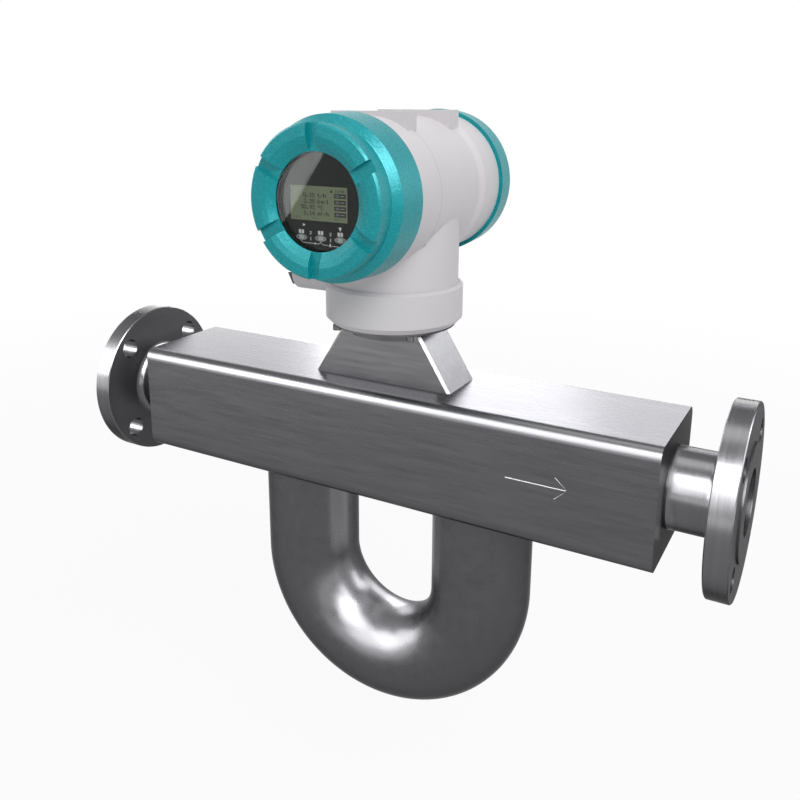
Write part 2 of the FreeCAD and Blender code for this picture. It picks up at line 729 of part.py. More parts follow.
def make_sensing_set():
    """Make coils and magnets at the three stations, with the brackets that carry them."""
    seat = (TUBE_RADIUS * TUBE_RADIUS
            - (S.tube_offset - S.bracket_near - S.bracket_thick)
            * (S.tube_offset - S.bracket_near - S.bracket_thick)).root() + S.seat_gap
    tip = S.coil_reach + S.bracket_edge
    brackets = {FRONT: [], REAR: []}
    for name, side in STATIONS.items():
        x, z, out_x, out_z = station_place(side)
        axis_x = x + S.coil_reach * out_x
        axis_z = z + S.coil_reach * out_z
        coil = turned_piece(f"{name}_coil", (
            (S.coil_bore / 2, S.coil_front),
            (S.coil_od / 2, S.coil_front),
            (S.coil_od / 2, S.bracket_near),
            (S.coil_bore / 2, S.bracket_near),
        ), axis_x, ZERO, axis_z, Z_TO_BACK)
        coil.Label = f"{name}_coil"
        turned_piece(f"{name}_magnet", (
            (ZERO, -S.magnet_tip),
            (S.magnet_od / 2, -S.magnet_tip),
            (S.magnet_od / 2, S.bracket_near),
            (ZERO, S.bracket_near),
        ), axis_x, ZERO, axis_z, Z_TO_FRONT)
        for row in (FRONT, REAR):
            half = S.coil_od / 2
            length = tip - seat
            if side:
                low_x = x + seat if side > 0 else x - tip
                sides = (length, S.bracket_thick, half * 2)
                low_z = z - half
            else:
                low_x = x - half
                sides = (half * 2, S.bracket_thick, length)
                low_z = z - tip
            low_y = S.bracket_near if row == REAR else -S.bracket_near - S.bracket_thick
            brackets[row].append(block(f"{name}_bracket", *sides, low_x, low_y, low_z))
    join("Compound", "magnet_brackets", Links=brackets[FRONT])
    join("Compound", "coil_brackets", Links=brackets[REAR])


def make_temperature_sensor():
    """Make the sensor block that straddles the rear tube near the inlet."""
    start = MID + S.sensor_station
    solid = block("sensor_block", S.sensor_long, S.sensor_wide, S.sensor_tall + TUBE_RADIUS / 2,
                  start, S.tube_offset - S.sensor_wide / 2, TUBE_RADIUS / 2)
    seat = rod("sensor_seat", S.tube_od + S.seat_gap * 2, S.sensor_long, start, S.tube_offset,
               ZERO, Z_TO_FLOW)
    join("Cut", "temperature_sensor", Base=solid, Tool=seat)


# Pedestal, feedthrough and swivel

def make_pedestal():
    """Fold the hollow pedestal with its leaning side plates."""
    pedestal = new_body("pedestal")
    foot = S.pedestal_foot / 2
    rise = S.pedestal_top - BEAM_TOP
    crest = foot - S.pedestal_lean * rise
    outline = sketch_on(pedestal, "XZ_Plane", -S.pedestal_deep / 2)
    draw_outline(outline, ((-foot, ZERO), (foot, ZERO), (crest, rise), (-crest, rise)))
    pad(pedestal, outline, S.pedestal_deep)

    def leans(edge):
        line = edge.Curve
        return isinstance(line, Part.Line) and 0.1 < abs(line.Direction.z) < 0.99

    soften(pedestal, "Chamfer", leans, S.pedestal_edge)
    wall = S.pedestal_wall
    hollow = sketch_on(pedestal, "XZ_Plane", S.pedestal_deep / 2 - wall)
    draw_outline(hollow, ((wall - foot, ZERO), (foot - wall, ZERO),
                          (crest - wall, rise), (wall - crest, rise)))
    pocket(pedestal, hollow, S.pedestal_deep - wall * 2)
    seat = sketch_on(pedestal, "XY_Plane", rise)
    draw_circle(seat, S.collar_od)
    pocket(pedestal, seat, S.collar_seat)
    place(pedestal, MID, ZERO, BEAM_TOP)


def make_feedthrough():
    """Make the glass-sealed header with its pins, set in the beam's roof."""
    header = turned_piece("feedthrough", (
        (ZERO, -S.beam_wall),
        (S.feed_hole / 2 - S.seat_gap, -S.beam_wall),
        (S.feed_hole / 2 - S.seat_gap, ZERO),
        (S.feed_flange_od / 2, ZERO),
        (S.feed_flange_od / 2, S.feed_flange),
        (ZERO, S.feed_flange),
    ), MID, ZERO, BEAM_TOP)
    pin = sketch_on(header, "XY_Plane", -S.beam_wall - S.feed_pin_reach)
    draw_circle(pin, S.feed_pin_od, S.feed_pin_circle / 2)
    pins = pad(header, pin, S.beam_wall + S.feed_flange + S.feed_pin_reach * 2)
    repeat_round(header, pins, S.feed_pin_count)


def make_swivel():
    """Make the swivel collar with its sealing ring, the sensor socket and the harness."""
    flange = S.collar_flange_od / 2
    flange_low = CUP_FOOT - COLLAR_FOOT + S.swivel_gap
    flange_high = CUP_FOOT - COLLAR_FOOT + S.collar_flange
    groove_half = S.ring_cord / 2 + S.seat_gap
    groove_floor = flange - S.ring_cord - S.seat_gap
    ring_level = (flange_low + flange_high) / 2
    turned_piece("swivel_collar", (
        (S.collar_bore / 2, ZERO),
        (S.collar_od / 2, ZERO),
        (S.collar_od / 2, flange_low),
        (flange, flange_low),
        (flange, ring_level - groove_half),
        (groove_floor, ring_level - groove_half),
        (groove_floor, ring_level + groove_half),
        (flange, ring_level + groove_half),
        (flange, flange_high),
        (S.collar_bore / 2, flange_high),
    ), MID, ZERO, COLLAR_FOOT)
    ring = new_body("swivel_ring")
    cord = sketch_on(ring, "XZ_Plane")
    draw_circle(cord, S.ring_cord, flange - S.ring_cord / 2, ZERO)
    revolve(ring, cord)
    place(ring, MID, ZERO, COLLAR_FOOT + ring_level)
    turned_piece("sensor_socket", (
        (ZERO, -S.socket_hub_drop),
        (S.socket_hub_od / 2, -S.socket_hub_drop),
        (S.socket_hub_od / 2, ZERO),
        (S.collar_bore / 2 - S.seat_gap, ZERO),
        (S.collar_bore / 2 - S.seat_gap, S.socket_thick),
        (ZERO, S.socket_thick),
    ), MID, ZERO, COLLAR_FOOT)
    pin_top = BEAM_TOP + S.feed_flange + S.feed_pin_reach
    harness = rod("harness_bundle", S.harness_od, COLLAR_FOOT - S.socket_hub_drop - pin_top,
                  MID, ZERO, pin_top)
    join("Compound", "sensor_harness", Links=[harness])


def clamp_places(centre=ZERO):
    """Give the clamp screws' places round the swivel axis."""
    count = round(S.clamp_count.value)
    radius = S.clamp_circle / 2
    for step in range(count):
        angle = math.radians(FULL_TURN / count * (step + 0.5))
        yield centre + radius * math.cos(angle), radius * math.sin(angle)


def make_clamp():
    """Make the clamp ring below the cup and the screws that hold it."""
    ring_foot = CUP_FOOT - S.clamp_ring
    ring = turned_piece("clamp_ring", (
        (S.collar_od / 2 + S.clamp_gap, ZERO),
        (S.clamp_ring_od / 2, ZERO),
        (S.clamp_ring_od / 2, S.clamp_ring),
        (S.collar_od / 2 + S.clamp_gap, S.clamp_ring),
    ), MID, ZERO, ring_foot)
    holes = sketch_on(ring, "XY_Plane", S.clamp_ring)
    for x, y in clamp_places():
        draw_circle(holes, S.clamp_shank, x, y)
    pocket(ring, holes, S.clamp_ring)
    screws = []
    for x, y in clamp_places(MID):
        head = rod("clamp_head", S.clamp_head, S.clamp_head_tall, x, y,
                   ring_foot - S.clamp_head_tall)
        shank = rod("clamp_shank", S.clamp_shank, S.clamp_grip, x, y, ring_foot)
        screw = doc.addObject("Part::MultiFuse", "clamp_screw")
        screw.Shapes = [head, shank]
        screws.append(screw)
    join("Compound", "clamp_screws", Links=screws)


# Transmitter housing

def add_stem(housing):
    """Turn the cup and the stem below the lying body."""
    foot = CUP_FOOT - S.head_height
    cup = S.cup_od / 2
    shoulder = foot + S.cup_tall
    outline = sketch_on(housing, "XZ_Plane")
    draw_outline(outline, (
        (ZERO, foot),
        (cup - S.cup_chamfer, foot),
        (cup, foot + S.cup_chamfer),
        (cup, shoulder - S.cup_shoulder),
        (cup - S.cup_shoulder, shoulder),
        (S.stem_od / 2, shoulder),
        (S.stem_od / 2, -S.stem_od / 8),
        (ZERO, -S.stem_od / 8),
    ))
    revolve(housing, outline)


def add_lugs(housing):
    """Raise the two flats across the top of the body."""
    start = S.body_od / 3
    for low, wide in ((S.front_lug_start, S.front_lug_wide), (S.rear_lug_start, S.rear_lug_wide)):
        lug = sketch_on(housing, "XY_Plane", start)
        draw_rectangle(lug, -S.lug_half, S.lug_half, low, low + wide)
        pad(housing, lug, S.lug_top - start)


def add_entries(housing):
    """Add the two cable entry bosses on the inlet's side, and the earth screw's pad."""
    for side in (FRONT, REAR):
        boss = sketch_on(housing, "YZ_Plane", -S.entry_end)
        draw_circle(boss, S.entry_od, S.entry_offset * side, -S.entry_drop)
        pad(housing, boss, S.entry_end - S.stem_bore / 2)
    reach = S.cup_od / 2 + S.ground_pad_reach
    pad_base = sketch_on(housing, "XZ_Plane", -reach)
    level = CUP_FOOT - S.head_height + S.ground_level
    draw_circle(pad_base, S.ground_pad_od, ZERO, level)
    pad(housing, pad_base, S.ground_pad_reach * 2)


def cut_rooms(housing):
    """Cut both compartments, the cable space in the stem and the swivel's bore."""
    rooms = ((-FRONT_END, S.partition_near), (S.partition_near + S.partition, REAR_END))
    for start, end in rooms:
        room = sketch_on(housing, "YZ_Plane")
        draw_rectangle(room, start, end, ZERO, S.room_od / 2)
        groove(housing, room, "H_Axis")
    foot = CUP_FOOT - S.head_height
    recess = S.collar_flange_od / 2 + S.swivel_gap
    space = sketch_on(housing, "XZ_Plane")
    draw_outline(space, (
        (ZERO, foot),
        (recess, foot),
        (recess, foot + S.collar_flange),
        (S.stem_bore / 2, foot + S.collar_flange),
        (S.stem_bore / 2, -S.stem_bore / 2),
        (ZERO, -S.stem_bore / 2),
    ))
    groove(housing, space)


def cut_holes(housing):
    """Cut the cable entries, the wiring duct and the holes for the screws."""
    inside = S.stem_bore / 4
    entries = sketch_on(housing, "YZ_Plane", -inside)
    for side in (FRONT, REAR):
        draw_circle(entries, S.entry_bore, S.entry_offset * side, -S.entry_drop)
    pocket(housing, entries, S.entry_end)
    duct = sketch_on(housing, "XZ_Plane", -S.partition_near)
    draw_circle(duct, S.duct_od, -S.duct_side, -S.duct_drop)
    pocket(housing, duct, S.partition)
    grip = S.clamp_grip - S.clamp_ring
    screws = sketch_on(housing, "XY_Plane", CUP_FOOT - S.head_height + grip)
    for x, y in clamp_places():
        draw_circle(screws, S.clamp_shank, x, y)
    pocket(housing, screws, grip)
    reach = S.cup_od / 2 + S.ground_pad_reach
    earth = sketch_on(housing, "XZ_Plane", S.ground_grip - reach)
    draw_circle(earth, S.ground_shank, ZERO, CUP_FOOT - S.head_height + S.ground_level)
    pocket(housing, earth, S.ground_grip * 2)


def make_housing():
    """Cast the transmitter housing: lying body, stem, cup, flats and cable entries."""
    housing = new_body("transmitter_housing")
    spigot = S.spigot_od / 2
    band = S.collar_band_od / 2
    body = S.body_od / 2
    outline = sketch_on(housing, "YZ_Plane")
    draw_outline(outline, (
        (-FRONT_END, ZERO),
        (-FRONT_END, spigot),
        (-S.front_seat, spigot),
        (-S.front_seat, band),
        (-S.front_band_end, band),
        (band - body - S.front_band_end, body),
        (S.rear_band_start - S.rear_ramp, body),
        (S.rear_band_start, band),
        (S.rear_seat, band),
        (S.rear_seat, spigot),
        (REAR_END, spigot),
        (REAR_END, ZERO),
    ))
    revolve(housing, outline, "H_Axis")
    add_stem(housing)
    add_lugs(housing)
    add_entries(housing)
    cut_rooms(housing)
    cut_holes(housing)
    place(housing, MID, ZERO, S.head_height)


def make_plug(label, side):
    """Make a hexagon blanking plug for one cable entry."""
    plug = new_body(label)
    head = sketch_on(plug, "YZ_Plane", -S.plug_head)
    draw_hexagon(head, S.plug_flats)
    pad(plug, head, S.plug_head)
    shank = sketch_on(plug, "YZ_Plane")
    draw_circle(shank, S.entry_bore - S.plug_gap * 2)
    pad(plug, shank, S.plug_grip)
    place(plug, MID - S.entry_end, S.entry_offset * side, S.head_height - S.entry_drop)


def make_ground_screw():
    """Make the earth screw on the back of the cup."""
    screw = new_body("ground_screw")
    head = sketch_on(screw, "XY_Plane")
    draw_hexagon(head, S.ground_flats)
    pad(screw, head, S.ground_head)
    shank = sketch_on(screw, "XY_Plane", -S.ground_grip)
    draw_circle(shank, S.ground_shank)
    pad(screw, shank, S.ground_grip)
    place(screw, MID, S.cup_od / 2 + S.ground_pad_reach, CUP_FOOT + S.ground_level, Z_TO_BACK)


# Covers

def notch_cover(cover, depth, notch, start):
    """Cut the spanner notches across the raised ring of a cover."""
    cut = sketch_on(cover, "XY_Plane", depth)
    draw_rectangle(cut, -S.notch_wide / 2, S.notch_wide / 2, start, S.cover_od / 2)
    repeat_round(cover, pocket(cover, cut, notch), S.notch_count)


def fit_lock_screw(cover, label, row):
    """Drill the side of a cover from below and put its lock screw in."""
    outside = S.cover_od / 2
    hole = sketch_on(cover, "XZ_Plane", outside * -row)
    draw_circle(hole, S.lock_screw_od, ZERO, S.lock_screw_inset)
    wall = outside - S.spigot_od / 2
    add_feature(cover, "Pocket", hole, Length=wall, Reversed=row == REAR)
    seat = S.front_seat if row == FRONT else S.rear_seat
    screw = rod("lock_screw", S.lock_screw_od, S.lock_screw_long, MID,
                (seat + S.lock_screw_inset) * row,
                S.head_height - outside + S.lock_screw_sink)
    join("Compound", label, Links=[screw])


def cover_outside(side, depth):
    """Give the points of a cover's outside, from its thread to its raised ring."""
    rim = S.cover_od / 2
    crown = S.crown_od / 2
    return (
        (S.spigot_od / 2 + S.thread_gap, ZERO),
        (rim, ZERO),
        (rim - S.cover_draft, side),
        (crown, side + S.cover_bevel),
        (crown, depth - S.crown_edge),
        (crown - S.crown_edge, depth),
    )


def cover_inside(thread_end, room_end):
    """Give the points of a cover's inside, from its inner face back to its thread."""
    room = S.cover_room_od / 2
    return (
        (room, room_end),
        (room, thread_end),
        (S.spigot_od / 2 + S.thread_gap, thread_end),
    )


def make_front_cover():
    """Turn the front cover with its window, glass, retaining ring and gasket."""
    lip_front = S.front_depth - S.dish_depth
    glass_front = lip_front - S.window_lip
    glass_back = glass_front - S.glass_thick
    pocket_radius = GLASS_RADIUS + S.glass_gap
    mouth_radius = WINDOW_RADIUS + S.dish_wall_wide
    thread_end = S.front_spigot + S.gasket
    outline = cover_outside(S.front_side, S.front_depth) + (
        (mouth_radius + S.ring_slope_wide, S.front_depth),
        (mouth_radius, S.front_depth - S.ring_slope_drop),
        (WINDOW_RADIUS, lip_front),
        (WINDOW_RADIUS, glass_front),
        (pocket_radius, glass_front),
        (pocket_radius, S.front_room),
    ) + cover_inside(thread_end, S.front_room)
    at = (MID, -S.front_seat, S.head_height, Z_TO_FRONT)
    cover = turned_piece("front_cover", outline, *at)
    notch_cover(cover, S.front_depth, S.dish_depth, ZERO)
    fit_lock_screw(cover, "front_lock_screw", FRONT)
    turned_piece("window_glass", (
        (ZERO, glass_back),
        (GLASS_RADIUS, glass_back),
        (GLASS_RADIUS, glass_front),
        (ZERO, glass_front),
    ), *at)
    turned_piece("window_retainer", (
        (RETAINER_RADIUS, glass_back - S.retainer_thick),
        (GLASS_RADIUS, glass_back - S.retainer_thick),
        (GLASS_RADIUS, glass_back),
        (RETAINER_RADIUS, glass_back),
    ), *at)
    make_gasket("front_cover_gasket", thread_end, *at)


def make_gasket(label, level, *at):
    """Make the flat gasket between a spigot's end and its cover."""
    turned_piece(label, (
        (S.cover_room_od / 2, level - S.gasket),
        (S.spigot_od / 2, level - S.gasket),
        (S.spigot_od / 2, level),
        (S.cover_room_od / 2, level),
    ), *at)


def make_rear_cover():
    """Turn the closed rear cover and its gasket."""
    thread_end = S.rear_spigot + S.gasket
    floor = S.rear_depth - S.rear_dish
    outline = cover_outside(S.rear_side, S.rear_depth) + (
        (S.rear_dish_od / 2, S.rear_depth),
        (S.rear_dish_od / 2 - S.rear_dish, floor),
        (ZERO, floor),
        (ZERO, S.rear_room),
    ) + cover_inside(thread_end, S.rear_room)
    at = (MID, S.rear_seat, S.head_height, Z_TO_BACK)
    cover = turned_piece("rear_cover", outline, *at)
    notch_cover(cover, S.rear_depth, S.rear_dish, S.rear_dish_od / 4)
    fit_lock_screw(cover, "rear_lock_screw", REAR)
    make_gasket("rear_cover_gasket", thread_end, *at)


# Electronics

def post_places(circle):
    """Give the posts' places on their pitch circle."""
    count = round(S.post_count.value)
    for step in range(count):
        angle = math.radians(FULL_TURN / count * (step + 0.5))
        yield MID + circle / 2 * math.cos(angle), S.head_height + circle / 2 * math.sin(angle)


def make_posts(label, spans):
    """Make posts across the given spans along the lying axis."""
    posts = []
    for start, end in spans:
        for x, z in post_places(S.post_circle):
            posts.append(rod("post", S.post_od, end - start, x, start, z, Z_TO_BACK))
    join("Compound", label, Links=posts)


def make_board(label, level):
    """Make a round circuit board whose front face is at the level."""
    turned_piece(label, (
        (ZERO, ZERO),
        (S.board_od / 2, ZERO),
        (S.board_od / 2, S.board_thick),
        (ZERO, S.board_thick),
    ), MID, level, S.head_height, Z_TO_BACK)


def make_display():
    """Make the display hood, its screen, the optical keys and the display board."""
    board_front = S.display_board_level + S.board_thick
    foot = S.display_foot_od / 2
    face = DISPLAY_RADIUS
    wall = S.display_hood
    slope_start = board_front + S.display_foot
    slope_end = DISPLAY_FACE - S.display_step
    at = (MID, ZERO, S.head_height, Z_TO_FRONT)
    hood = turned_piece("display_hood", (
        (foot - wall, board_front),
        (foot, board_front),
        (foot, slope_start),
        (face, slope_end),
        (face, DISPLAY_FACE),
        (ZERO, DISPLAY_FACE),
        (ZERO, DISPLAY_FACE - wall),
        (face - wall, DISPLAY_FACE - wall),
        (face - wall, slope_end - wall / 2),
        (foot - wall, slope_start - wall / 2),
    ), *at)
    opening = sketch_on(hood, "XY_Plane", DISPLAY_FACE)
    half_wide, half_tall = S.screen_wide / 2, S.screen_tall / 2
    draw_rectangle(opening, S.screen_shift - half_wide, S.screen_shift + half_wide,
                   -S.screen_drop - half_tall, half_tall - S.screen_drop)
    for step in (-1, 0, 1):
        draw_circle(opening, S.key_od + S.key_gap * 2, S.key_pitch * step, -S.key_drop)
    pocket(hood, opening, wall)
    screen = new_body("screen_panel")
    back = sketch_on(screen, "XY_Plane", DISPLAY_FACE - wall - S.screen_back)
    edge = S.screen_flange
    draw_rectangle(back, S.screen_shift - half_wide - edge, S.screen_shift + half_wide + edge,
                   -S.screen_drop - half_tall - edge, half_tall - S.screen_drop + edge)
    pad(screen, back, S.screen_back)
    lens = sketch_on(screen, "XY_Plane", DISPLAY_FACE - wall)
    gap = S.screen_gap
    draw_rectangle(lens, S.screen_shift - half_wide + gap, S.screen_shift + half_wide - gap,
                   gap - S.screen_drop - half_tall, half_tall - S.screen_drop - gap)
    pad(screen, lens, wall - gap)
    place(screen, *at)
    keys = [rod("key", S.key_od, DISPLAY_FACE - board_front, MID + S.key_pitch * step,
                -board_front, S.head_height - S.key_drop, Z_TO_FRONT) for step in (-1, 0, 1)]
    join("Compound", "optical_keys", Links=keys)
    make_board("display_board", -board_front)


def make_electronics():
    """Stack the boards in their cassette and stand the display on its posts."""
    floor = S.partition_near - S.frame_wall
    spans = []
    previous = floor
    for step, name in enumerate(BOARD_NAMES):
        front = floor - S.first_board - S.board_thick - S.board_pitch * step
        make_board(name, front)
        spans.append((front + S.board_thick, previous))
        previous = front
    make_posts("board_spacers", spans)
    make_posts("display_posts", [(-S.display_board_level, previous)])
    frame_front = previous - S.frame_lip
    outer = S.frame_od / 2
    inner = outer - S.frame_wall
    turned_piece("cassette_frame", (
        (ZERO, floor),
        (inner, floor),
        (inner, frame_front),
        (outer, frame_front),
        (outer, S.partition_near),
        (ZERO, S.partition_near),
    ), MID, ZERO, S.head_height, Z_TO_BACK)
    room_floor = S.head_height - S.frame_od / 2
    connector_top = CUP_FOOT + S.collar_flange
    turned_piece("stem_harness", (
        (ZERO, CUP_FOOT + S.display_gap),
        (S.socket_hub_od / 2, CUP_FOOT + S.display_gap),
        (S.socket_hub_od / 2, connector_top),
        (S.harness_od / 2, connector_top),
        (S.harness_od / 2, room_floor - S.display_gap),
        (ZERO, room_floor - S.display_gap),
    ), MID)


def make_terminals():
    """Fit the terminal board, block and screws in the rear compartment."""
    wall = S.partition_near + S.partition
    board_back = wall + S.terminal_post
    make_board("terminal_board", board_back)
    make_posts("terminal_posts", [(wall, board_back)])
    face = board_back + S.board_thick
    body = new_body("terminal_block")
    outline = sketch_on(body, "XZ_Plane", -face)
    half, tall = S.terminal_half, S.terminal_tall / 2
    draw_rectangle(outline, -half, half, -tall, tall)
    add_feature(body, "Pad", outline, Length=S.terminal_deep, Reversed=True)
    outer = face + S.terminal_deep
    wells = sketch_on(body, "XZ_Plane", S.terminal_well - outer)
    count = round(S.terminal_count.value)
    places = [S.terminal_pitch * (step - (count - 1) / 2) for step in range(count)]
    for x in places:
        draw_circle(wells, S.terminal_screw_od + S.terminal_screw_gap * 2, x, ZERO)
    pocket(body, wells, S.terminal_well)
    mouths = sketch_on(body, "XY_Plane", -tall + S.wire_mouth_deep)
    mouth = S.wire_mouth / 2
    middle = outer - S.terminal_deep / 2
    for x in places:
        draw_rectangle(mouths, x - mouth, x + mouth, middle - mouth, middle + mouth)
    pocket(body, mouths, S.wire_mouth_deep)
    place(body, MID, ZERO, S.head_height)
    screws = []
    for x in places:
        low = outer - S.terminal_well
        length = S.terminal_well - S.terminal_screw_sink
        screws.append(rod("terminal_screw", S.terminal_screw_od, length, MID + x, low,
                          S.head_height, Z_TO_BACK))
    join("Compound", "terminal_screws", Links=screws)


# Build

make_flange("inlet_flange", ZERO, Z_TO_FLOW)
make_flange("outlet_flange", S.overall_run, Z_AGAINST_FLOW)
make_end_plate("inlet_end_plate", BEAM_START)
make_end_plate("outlet_end_plate", BEAM_END - S.end_plate)
make_beam()
make_loop_housing()
make_splitter("inlet_splitter", BEAM_START + S.end_plate, Z_TO_FLOW)
make_splitter("outlet_splitter", BEAM_END - S.end_plate, Z_AGAINST_FLOW)
make_measuring_tube("front_measuring_tube", FRONT)
make_measuring_tube("rear_measuring_tube", REAR)
make_brace_bars("inlet_brace_bars", -1)
make_brace_bars("outlet_brace_bars", 1)
make_sensing_set()
make_temperature_sensor()
make_pedestal()
make_feedthrough()
make_swivel()
make_clamp()
make_housing()
make_plug("front_entry_plug", FRONT)
make_plug("rear_entry_plug", REAR)
make_ground_screw()
make_front_cover()
make_rear_cover()
make_display()
make_electronics()
make_terminals()
doc.recompute()


# Check and write

for item in doc.Objects:
    if "Invalid" in item.State or "Error" in item.State:
        raise ValueError(f"{item.Label} failed: {item.State}")
for node in nodes:
    if node.Shape.isNull() or not node.Shape.isValid() or node.Shape.Volume <= 0:
        raise ValueError(f"{node.Label} has no valid shape")

os.makedirs("parts", exist_ok=True)
for node in nodes:
    node.Shape.exportStep(os.path.join("parts", f"{node.Label}.step"))
print(f"{len(nodes)} nodes written")
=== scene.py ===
"""Looks of a twin-tube flow meter: finishes, display artwork, fine parts, light and camera."""

import json
import logging
import math
import random
import re
from collections.abc import Iterable
from dataclasses import dataclass
from enum import Enum
from itertools import product

import bmesh
import bpy
from mathutils import Matrix, Vector

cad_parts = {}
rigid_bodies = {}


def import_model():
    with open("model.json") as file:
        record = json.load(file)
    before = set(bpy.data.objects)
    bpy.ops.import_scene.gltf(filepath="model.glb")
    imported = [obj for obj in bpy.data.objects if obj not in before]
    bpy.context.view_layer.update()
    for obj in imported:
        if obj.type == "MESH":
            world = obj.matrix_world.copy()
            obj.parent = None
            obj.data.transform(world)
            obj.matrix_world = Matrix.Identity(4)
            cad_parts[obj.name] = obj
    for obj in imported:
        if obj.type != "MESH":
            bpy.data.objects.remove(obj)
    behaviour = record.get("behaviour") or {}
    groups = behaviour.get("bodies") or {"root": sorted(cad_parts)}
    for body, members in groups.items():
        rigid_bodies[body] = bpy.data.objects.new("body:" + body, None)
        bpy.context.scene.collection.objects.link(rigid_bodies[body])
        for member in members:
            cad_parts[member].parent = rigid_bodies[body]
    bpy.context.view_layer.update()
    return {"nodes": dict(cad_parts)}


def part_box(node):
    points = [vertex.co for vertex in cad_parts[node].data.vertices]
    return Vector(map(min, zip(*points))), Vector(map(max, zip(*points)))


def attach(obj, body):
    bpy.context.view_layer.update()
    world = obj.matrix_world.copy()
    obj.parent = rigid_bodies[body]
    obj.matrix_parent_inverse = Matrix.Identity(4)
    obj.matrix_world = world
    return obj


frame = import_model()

log = logging.getLogger("flow_meter")

MM = 0.001
# Middle of the meter along the pipe, and the head's axis above the pipe's.
MID = 304.5 * MM
HEAD_LEVEL = 216.7 * MM
# Thickness of printed artwork.
INK = 0.03 * MM
# Watts that give a square metre of lamp a brightness of 1.
LAMP_WATTS = 4

Colour = tuple[float, float, float]
Point = tuple[float, float]
Place = tuple[float, float, float]
Socket = bpy.types.NodeSocket


def tone(red: int, green: int, blue: int) -> Colour:
    """Turn a colour as it is seen into the linear values that shaders read.

    Args:
        red: 0 to 255.
        green: 0 to 255.
        blue: 0 to 255.

    Returns:
        The linear colour.
    """
    return tuple(
        c / 12.92 if c <= 0.04045 else ((c + 0.055) / 1.055) ** 2.4
        for c in (red / 255, green / 255, blue / 255)
    )


def shaded(colour: Colour, share: float) -> Colour:
    """Scale a colour's brightness."""
    return tuple(min(1.0, c * share) for c in colour)


def in_scene(name: str, data: bpy.types.ID) -> bpy.types.Object:
    """Put a mesh, lamp or camera in the scene.

    Args:
        name: the new object's name.
        data: what it shows.

    Returns:
        The new object.
    """
    made = bpy.data.objects.new(name, data)
    bpy.context.scene.collection.objects.link(made)
    return made


class Grain(Enum):
    """How the marks of making run over a metal surface."""

    ALONG_X = "along x"
    TURNED_X = "turned about x"
    TURNED_Y = "turned about y"
    TURNED_Z = "turned about z"
    PLAIN = "no direction"


class Graph:
    """Adds nodes to one tree and joins them."""

    family: str = "ShaderNode"

    def __init__(self, tree: bpy.types.NodeTree) -> None:
        """Work on one tree."""
        self.tree = tree

    def add(self, kind: str, inputs: dict | None = None, **options: object) -> bpy.types.Node:
        """Add one node.

        Args:
            kind: the node's type name, where the family's name may be left off.
            inputs: values or sockets for its inputs, by name or by number.
            **options: values for its other properties.

        Returns:
            The new node.
        """
        node = self.tree.nodes.new(kind if "Node" in kind else self.family + kind)
        for name, value in options.items():
            setattr(node, name, value)
        for name, value in (inputs or {}).items():
            self.feed(node.inputs[name], value)
        return node

    def feed(self, socket: Socket, value: object) -> None:
        """Link a socket to another one, or set its value.

        Args:
            socket: the input.
            value: another node's output, a number, a vector or a colour.
        """
        if isinstance(value, Socket):
            self.tree.links.new(value, socket)
        elif isinstance(value, tuple) and len(value) == 3 and socket.type == "RGBA":
            socket.default_value = (*value, 1.0)
        else:
            socket.default_value = value

    def first(self, kind: str, inputs: dict | None = None, **options: object) -> Socket:
        """Add one node like add, and give its first output."""
        return self.add(kind, inputs, **options).outputs[0]

    def math(self, operation: str, *values: object) -> Socket:
        """Join numbers by one arithmetic operation."""
        return self.first("Math", dict(enumerate(values)), operation=operation)

    def ramp(
        self, value: object, low: float, high: float, start: float = 0.0, end: float = 1.0
    ) -> Socket:
        """Map low..high to start..end and hold the ends."""
        return self.first("MapRange", {0: value, 1: low, 2: high, 3: start, 4: end})

    def seen_directly(self) -> Socket:
        """Tell camera, mirror and glass rays from soft light.

        Returns:
            1 for those rays and 0 for soft light.
        """
        rays = self.add("LightPath").outputs
        mirrored = self.math("MAXIMUM", rays["Is Camera Ray"], rays["Is Glossy Ray"])
        return self.math("MAXIMUM", mirrored, rays["Is Transmission Ray"])


